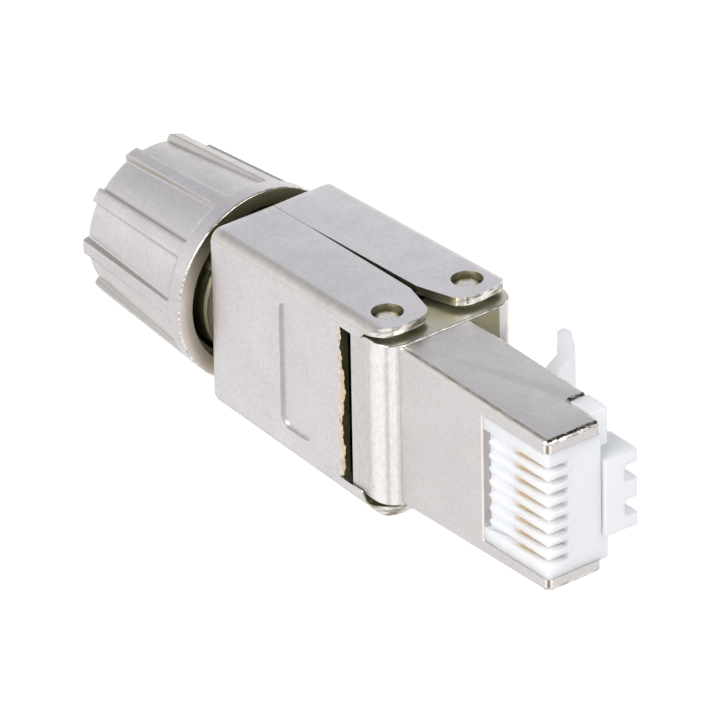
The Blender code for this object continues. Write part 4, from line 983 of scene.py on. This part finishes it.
# the inner pieces keep their shapes and take their finishes
inner = {"contact_bar": "bar", "circuit_board": "board", "idc_block_a": "black", "idc_block_b": "black",
    "wire_guide": "black"}
for k in range(1, 9):
    inner["contact_%d" % k], inner["idc_terminal_%d" % k] = "gold", "tin"
for name, use in inner.items():
    node = bpy.data.objects.get(name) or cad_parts[name]
    node.data.materials.clear()
    node.data.materials.append(finish[use])
print("inner pieces finished")

# the floor, the world and the lamps; a lamp has its spot, its size and its power
studio = {"floor": -7.34, "size": 1500, "sky": 0.8, "mirrored": 1.2, "card": 1.0, "cardTint": "#E8E8E8",
    "cardGlow": 0.62, "horizon": "#FFFFFF", "halfway": "#D4D6DA", "ceiling": "#7C7F87",
    "darkSide": (0.505, 0.528, 0.683), "darkFrom": 0.78, "darkTo": 0.95, "darkShare": 0.2,
    "aim": (-0.024, 0.001, 0),
    "lamps": {"key_left": ((0.05, -0.55, 0.42), 0.5, 3.2), "fill_right": ((0.55, 0.15, 0.35), 0.5, 1.6)}}


def clearedTree(owner, output):
    # a material's or the world's nodes: only its output and the kinds of ray
    owner.use_nodes = True
    tree = owner.node_tree
    tree.nodes.clear()
    return tree, addNode(tree, output), addNode(tree, "LightPath").outputs


def floorMaterial(s):
    # white card: full white to the camera and in reflections, with the object's shadow kept
    made = bpy.data.materials.new("card_white_matt")
    tree, out, ray = clearedTree(made, "OutputMaterial")
    plain = addNode(tree, "BsdfDiffuse", {"Color": linear(s["cardTint"])})
    glow = addNode(tree, "Emission", {"Color": grey(1), "Strength": s["cardGlow"]})
    seen = addNode(tree, "AddShader", None, {0: plain, 1: glow})
    white = addNode(tree, "Emission", {"Color": grey(1), "Strength": s["card"]})
    first = addNode(tree, "MixShader", None, {0: ray["Is Camera Ray"], 1: plain, 2: seen})
    either = addNode(tree, "Math", {"operation": "MAXIMUM"},
        {0: ray["Is Glossy Ray"], 1: ray["Is Transmission Ray"]})
    last = addNode(tree, "MixShader", None, {0: either, 1: first, 2: white})
    feed(tree, out, {}, {"Surface": last})
    return made


def makeWorld(s):
    # metal sees a white horizon that falls off to a darker ceiling; the camera sees white
    world = bpy.data.worlds.new("studio")
    bpy.context.scene.world = world
    tree, out, ray = clearedTree(world, "OutputWorld")
    towards = addNode(tree, "TexCoord").outputs["Generated"]
    split = addNode(tree, "SeparateXYZ", None, {0: towards})
    stops = [(0.0, linear(s["horizon"])), (0.5, linear(s["halfway"])), (1.0, linear(s["ceiling"]))]
    ramp = addNode(tree, "ValToRGB", {"stops": stops}, {"Fac": split.outputs["Z"]})
    # a dark stretch of the room, high behind the latch side, draws the dark line along the front edges
    along = addNode(tree, "VectorMath", {"operation": "DOT_PRODUCT", 1: s["darkSide"]}, {0: towards})
    fall = limits(s["darkFrom"], s["darkTo"], s["mirrored"], s["mirrored"] * s["darkShare"])
    shade = addNode(tree, "MapRange", {"interpolation_type": "SMOOTHSTEP", **fall},
        {"Value": along.outputs["Value"]})
    mirrored = addNode(tree, "Background", None, {"Color": ramp, "Strength": shade})
    sky = addNode(tree, "Background", {"Strength": s["sky"]}, {"Color": ramp})
    white = addNode(tree, "Background", {"Color": grey(1), "Strength": 1})
    first = addNode(tree, "MixShader", None, {0: ray["Is Glossy Ray"], 1: sky, 2: mirrored})
    last = addNode(tree, "MixShader", None, {0: ray["Is Camera Ray"], 1: first, 2: white})
    feed(tree, out, {}, {"Surface": last})


def makeFloor(s):
    # one square, its face up
    half, z = s["size"] / 2, s["floor"]
    corners = [(-half, -half, z), (half, -half, z), (half, half, z), (-half, half, z)]
    floor = meshObject("floor", corners, [[0, 1, 2, 3]])
    setPoints(floor.data, pointsOf(floor.data) * mm)
    floor.data.materials.append(floorMaterial(s))
    if floor.data.polygons[0].normal.z < 0:
        floor.data.flip_normals()


def lamp(name, spot, aim, size, power):
    data = bpy.data.lights.new(name, "AREA")
    data.shape, data.size, data.energy = "DISK", size, power
    made = addObject(name, data)
    made.location = spot
    made.rotation_mode = "QUATERNION"
    made.rotation_quaternion = (Vector(aim) - Vector(spot)).to_track_quat("-Z", "Y")


makeFloor(studio)
makeWorld(studio)
for name, (spot, size, power) in studio["lamps"].items():
    lamp(name, spot, studio["aim"], size, power)
bpy.context.scene.view_settings.view_transform = "Standard"
print("studio made")
